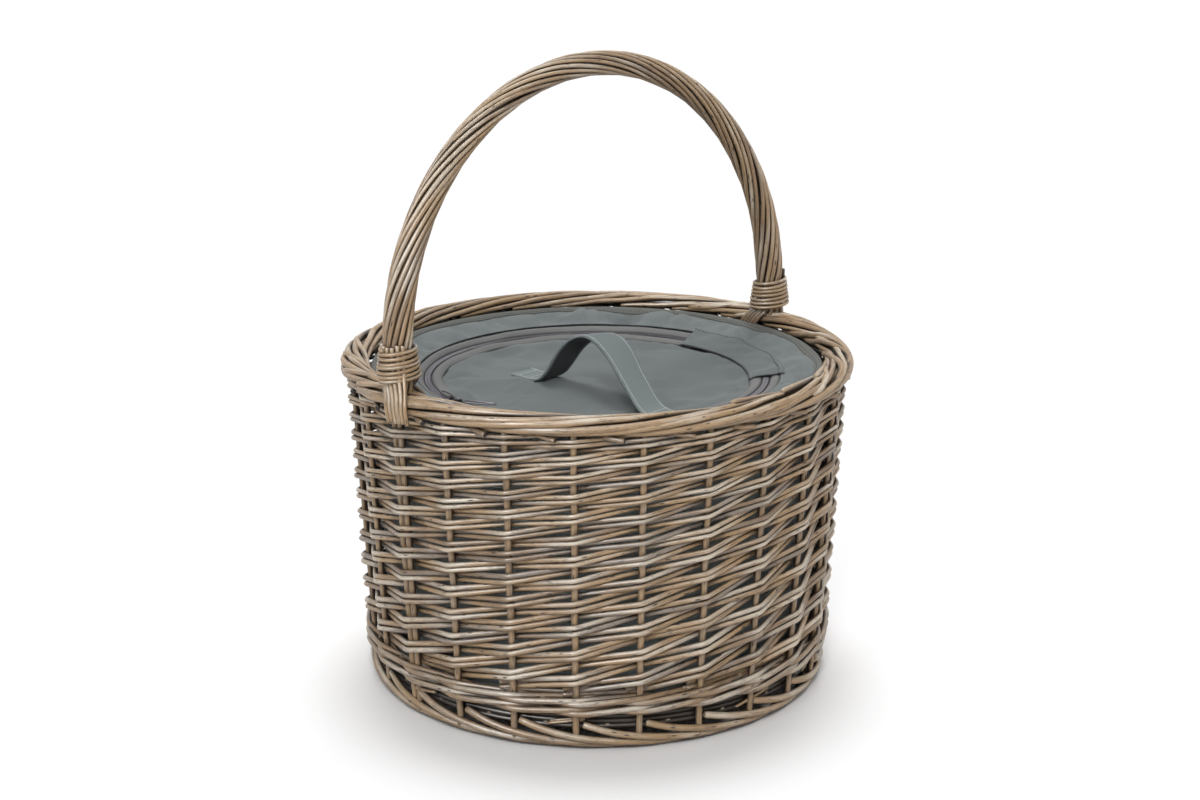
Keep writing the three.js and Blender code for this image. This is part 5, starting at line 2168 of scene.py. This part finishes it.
def makePull(name, middle, along, across, ahead):
    # a slim wire loop, narrower at its end and at its eye
    size = slider
    way = np.linspace(0, turn, size["pullSteps"])[:, None]
    reach = size["pullLength"] / 2
    far = (1 - np.cos(way)) / 2
    broad = size["pullWidth"] / 2 * np.sign(np.sin(way)) * np.abs(np.sin(way)) ** size["pullSquare"]
    broad = broad * (1 - size["pullNarrow"] * far)
    broad = broad * (1 - (1 - size["eyeWidth"]) * np.clip(np.cos(way), 0, 1) ** size["eyeCurve"])
    swivel = math.radians(size["swivel"][name]) * ahead
    forward = along * math.cos(swivel) + across * math.sin(swivel)
    beside = across * math.cos(swivel) - along * math.sin(swivel)
    loop = middle + forward * (2 * reach * far - size["eyeSpare"]) + beside * broad
    loop = loop + upward * (size["pivot"] - size["pullDrop"] * far)
    pull = Rods()
    pull.add(loop, size["pullWire"], seed=0.3, bevel=False)
    piece = pull.make(f"{name}Pull", sides=8, finish=sliderFinish)
    settle(piece, f"{name}_pull", "slider_metal", f"{name}_zip_pull")


for name, ahead in (("front", 1), ("back", -1)):
    flip = jointPlace(f"{name}_pull_flip")
    azimuth = math.atan2(flip[1], flip[0])
    heading = azimuth + ahead * math.pi / 2
    middle = polar(slider["runRadius"], azimuth, 0)
    along = np.array([math.cos(heading), math.sin(heading), 0])
    across = np.array([-along[1], along[0], 0])
    makeSlider(name, middle, heading)
    makeBail(name, middle, along, across)
    makePull(name, middle, along, across, ahead)
print("sliders made")

# floor, light and camera
studio = {
    "floorSize": 40.0,
    "sky": 0.35,
    "floorGlow": 0.80,
    "glowFrom": (0.18, 0.36),   # metres from the middle, where the glow begins and is full
    "floorShade": 0.93,
    "floorCloud": 0.02,
    "cloudScale": 3.0,
    "floorRoughness": 0.9,
    "suns": (
        {"strength": 1.6, "spread": 22.0, "from": (0.16, 0.18, 1.0), "glossOnly": False},
        {"strength": 1.4, "spread": 18.0, "from": (-0.70, -0.74, 0.95), "glossOnly": False},
        {"strength": 7.0, "spread": 8.0, "from": (-0.985, -0.174, 0.62), "glossOnly": True},
    ),
}


def makeFloor():
    half = studio["floorSize"] / 2
    corners = [(-half, -half, 0), (half, -half, 0), (half, half, 0), (-half, half, 0)]
    mesh = bpy.data.meshes.new("floor")
    mesh.from_pydata(corners, [], [(0, 1, 2, 3)])
    floor = bpy.data.objects.new("floor", mesh)
    scene.collection.objects.link(floor)
    # away from the object the camera sees the floor paler than it is lit
    f = Finish("paleFloor")
    place = f.place()
    cloud = f.noise(place, studio["cloudScale"]) * studio["floorCloud"]
    sockets = {"Base Color": f.grey(studio["floorShade"] + cloud, blueness=1.005)}
    sockets["Roughness"] = studio["floorRoughness"]
    matt = f.node("ShaderNodeBsdfPrincipled", {}, sockets)
    glow = f.node("ShaderNodeEmission", {}, {"Color": (1, 1, 1, 1), "Strength": 1.0})
    away = f.node("ShaderNodeVectorMath", {"operation": "LENGTH"}, {0: place}, out="Value")
    share = f.seen() * studio["floorGlow"] * f.smooth(away, *studio["glowFrom"])
    seen = f.node("ShaderNodeMixShader", {}, {0: share, 1: matt, 2: glow})
    f.node("ShaderNodeOutputMaterial", {}, {"Surface": seen})
    mesh.materials.append(f.material)


def makeLight():
    world = bpy.data.worlds.new("studio")
    scene.world = world
    world.use_nodes = True
    world.node_tree.nodes.clear()
    graph = Graph(world.node_tree)
    strength = graph.seen() * (1 - studio["sky"]) + studio["sky"]
    sky = graph.node("ShaderNodeBackground", {}, {"Color": (1, 1, 1, 1), "Strength": strength})
    graph.node("ShaderNodeOutputWorld", {}, {"Surface": sky})
    for light in studio["suns"]:
        sun = bpy.data.lights.new("softSun", "SUN")
        sun.energy = light["strength"]
        sun.angle = math.radians(light["spread"])
        lamp = bpy.data.objects.new("softSun", sun)
        lamp.rotation_euler = Vector(light["from"]).to_track_quat("Z", "Y").to_euler()
        lamp.visible_diffuse = not light["glossOnly"]
        scene.collection.objects.link(lamp)


cameraPlace = {
    "location": (-1.0285, -1.2257, 0.680),
    "turn": (73.83, 0.0, -40.085),
    "lens": 63.66,
    "sensor": 36.0,
}


def makeCamera():
    camera = bpy.data.cameras.new("camera")
    camera.lens = cameraPlace["lens"]
    camera.sensor_width = cameraPlace["sensor"]
    holder = bpy.data.objects.new("camera", camera)
    holder.location = cameraPlace["location"]
    holder.rotation_euler = [math.radians(a) for a in cameraPlace["turn"]]
    scene.collection.objects.link(holder)
    scene.camera = holder


makeFloor()
makeLight()
makeCamera()
scene.view_settings.view_transform = "Standard"
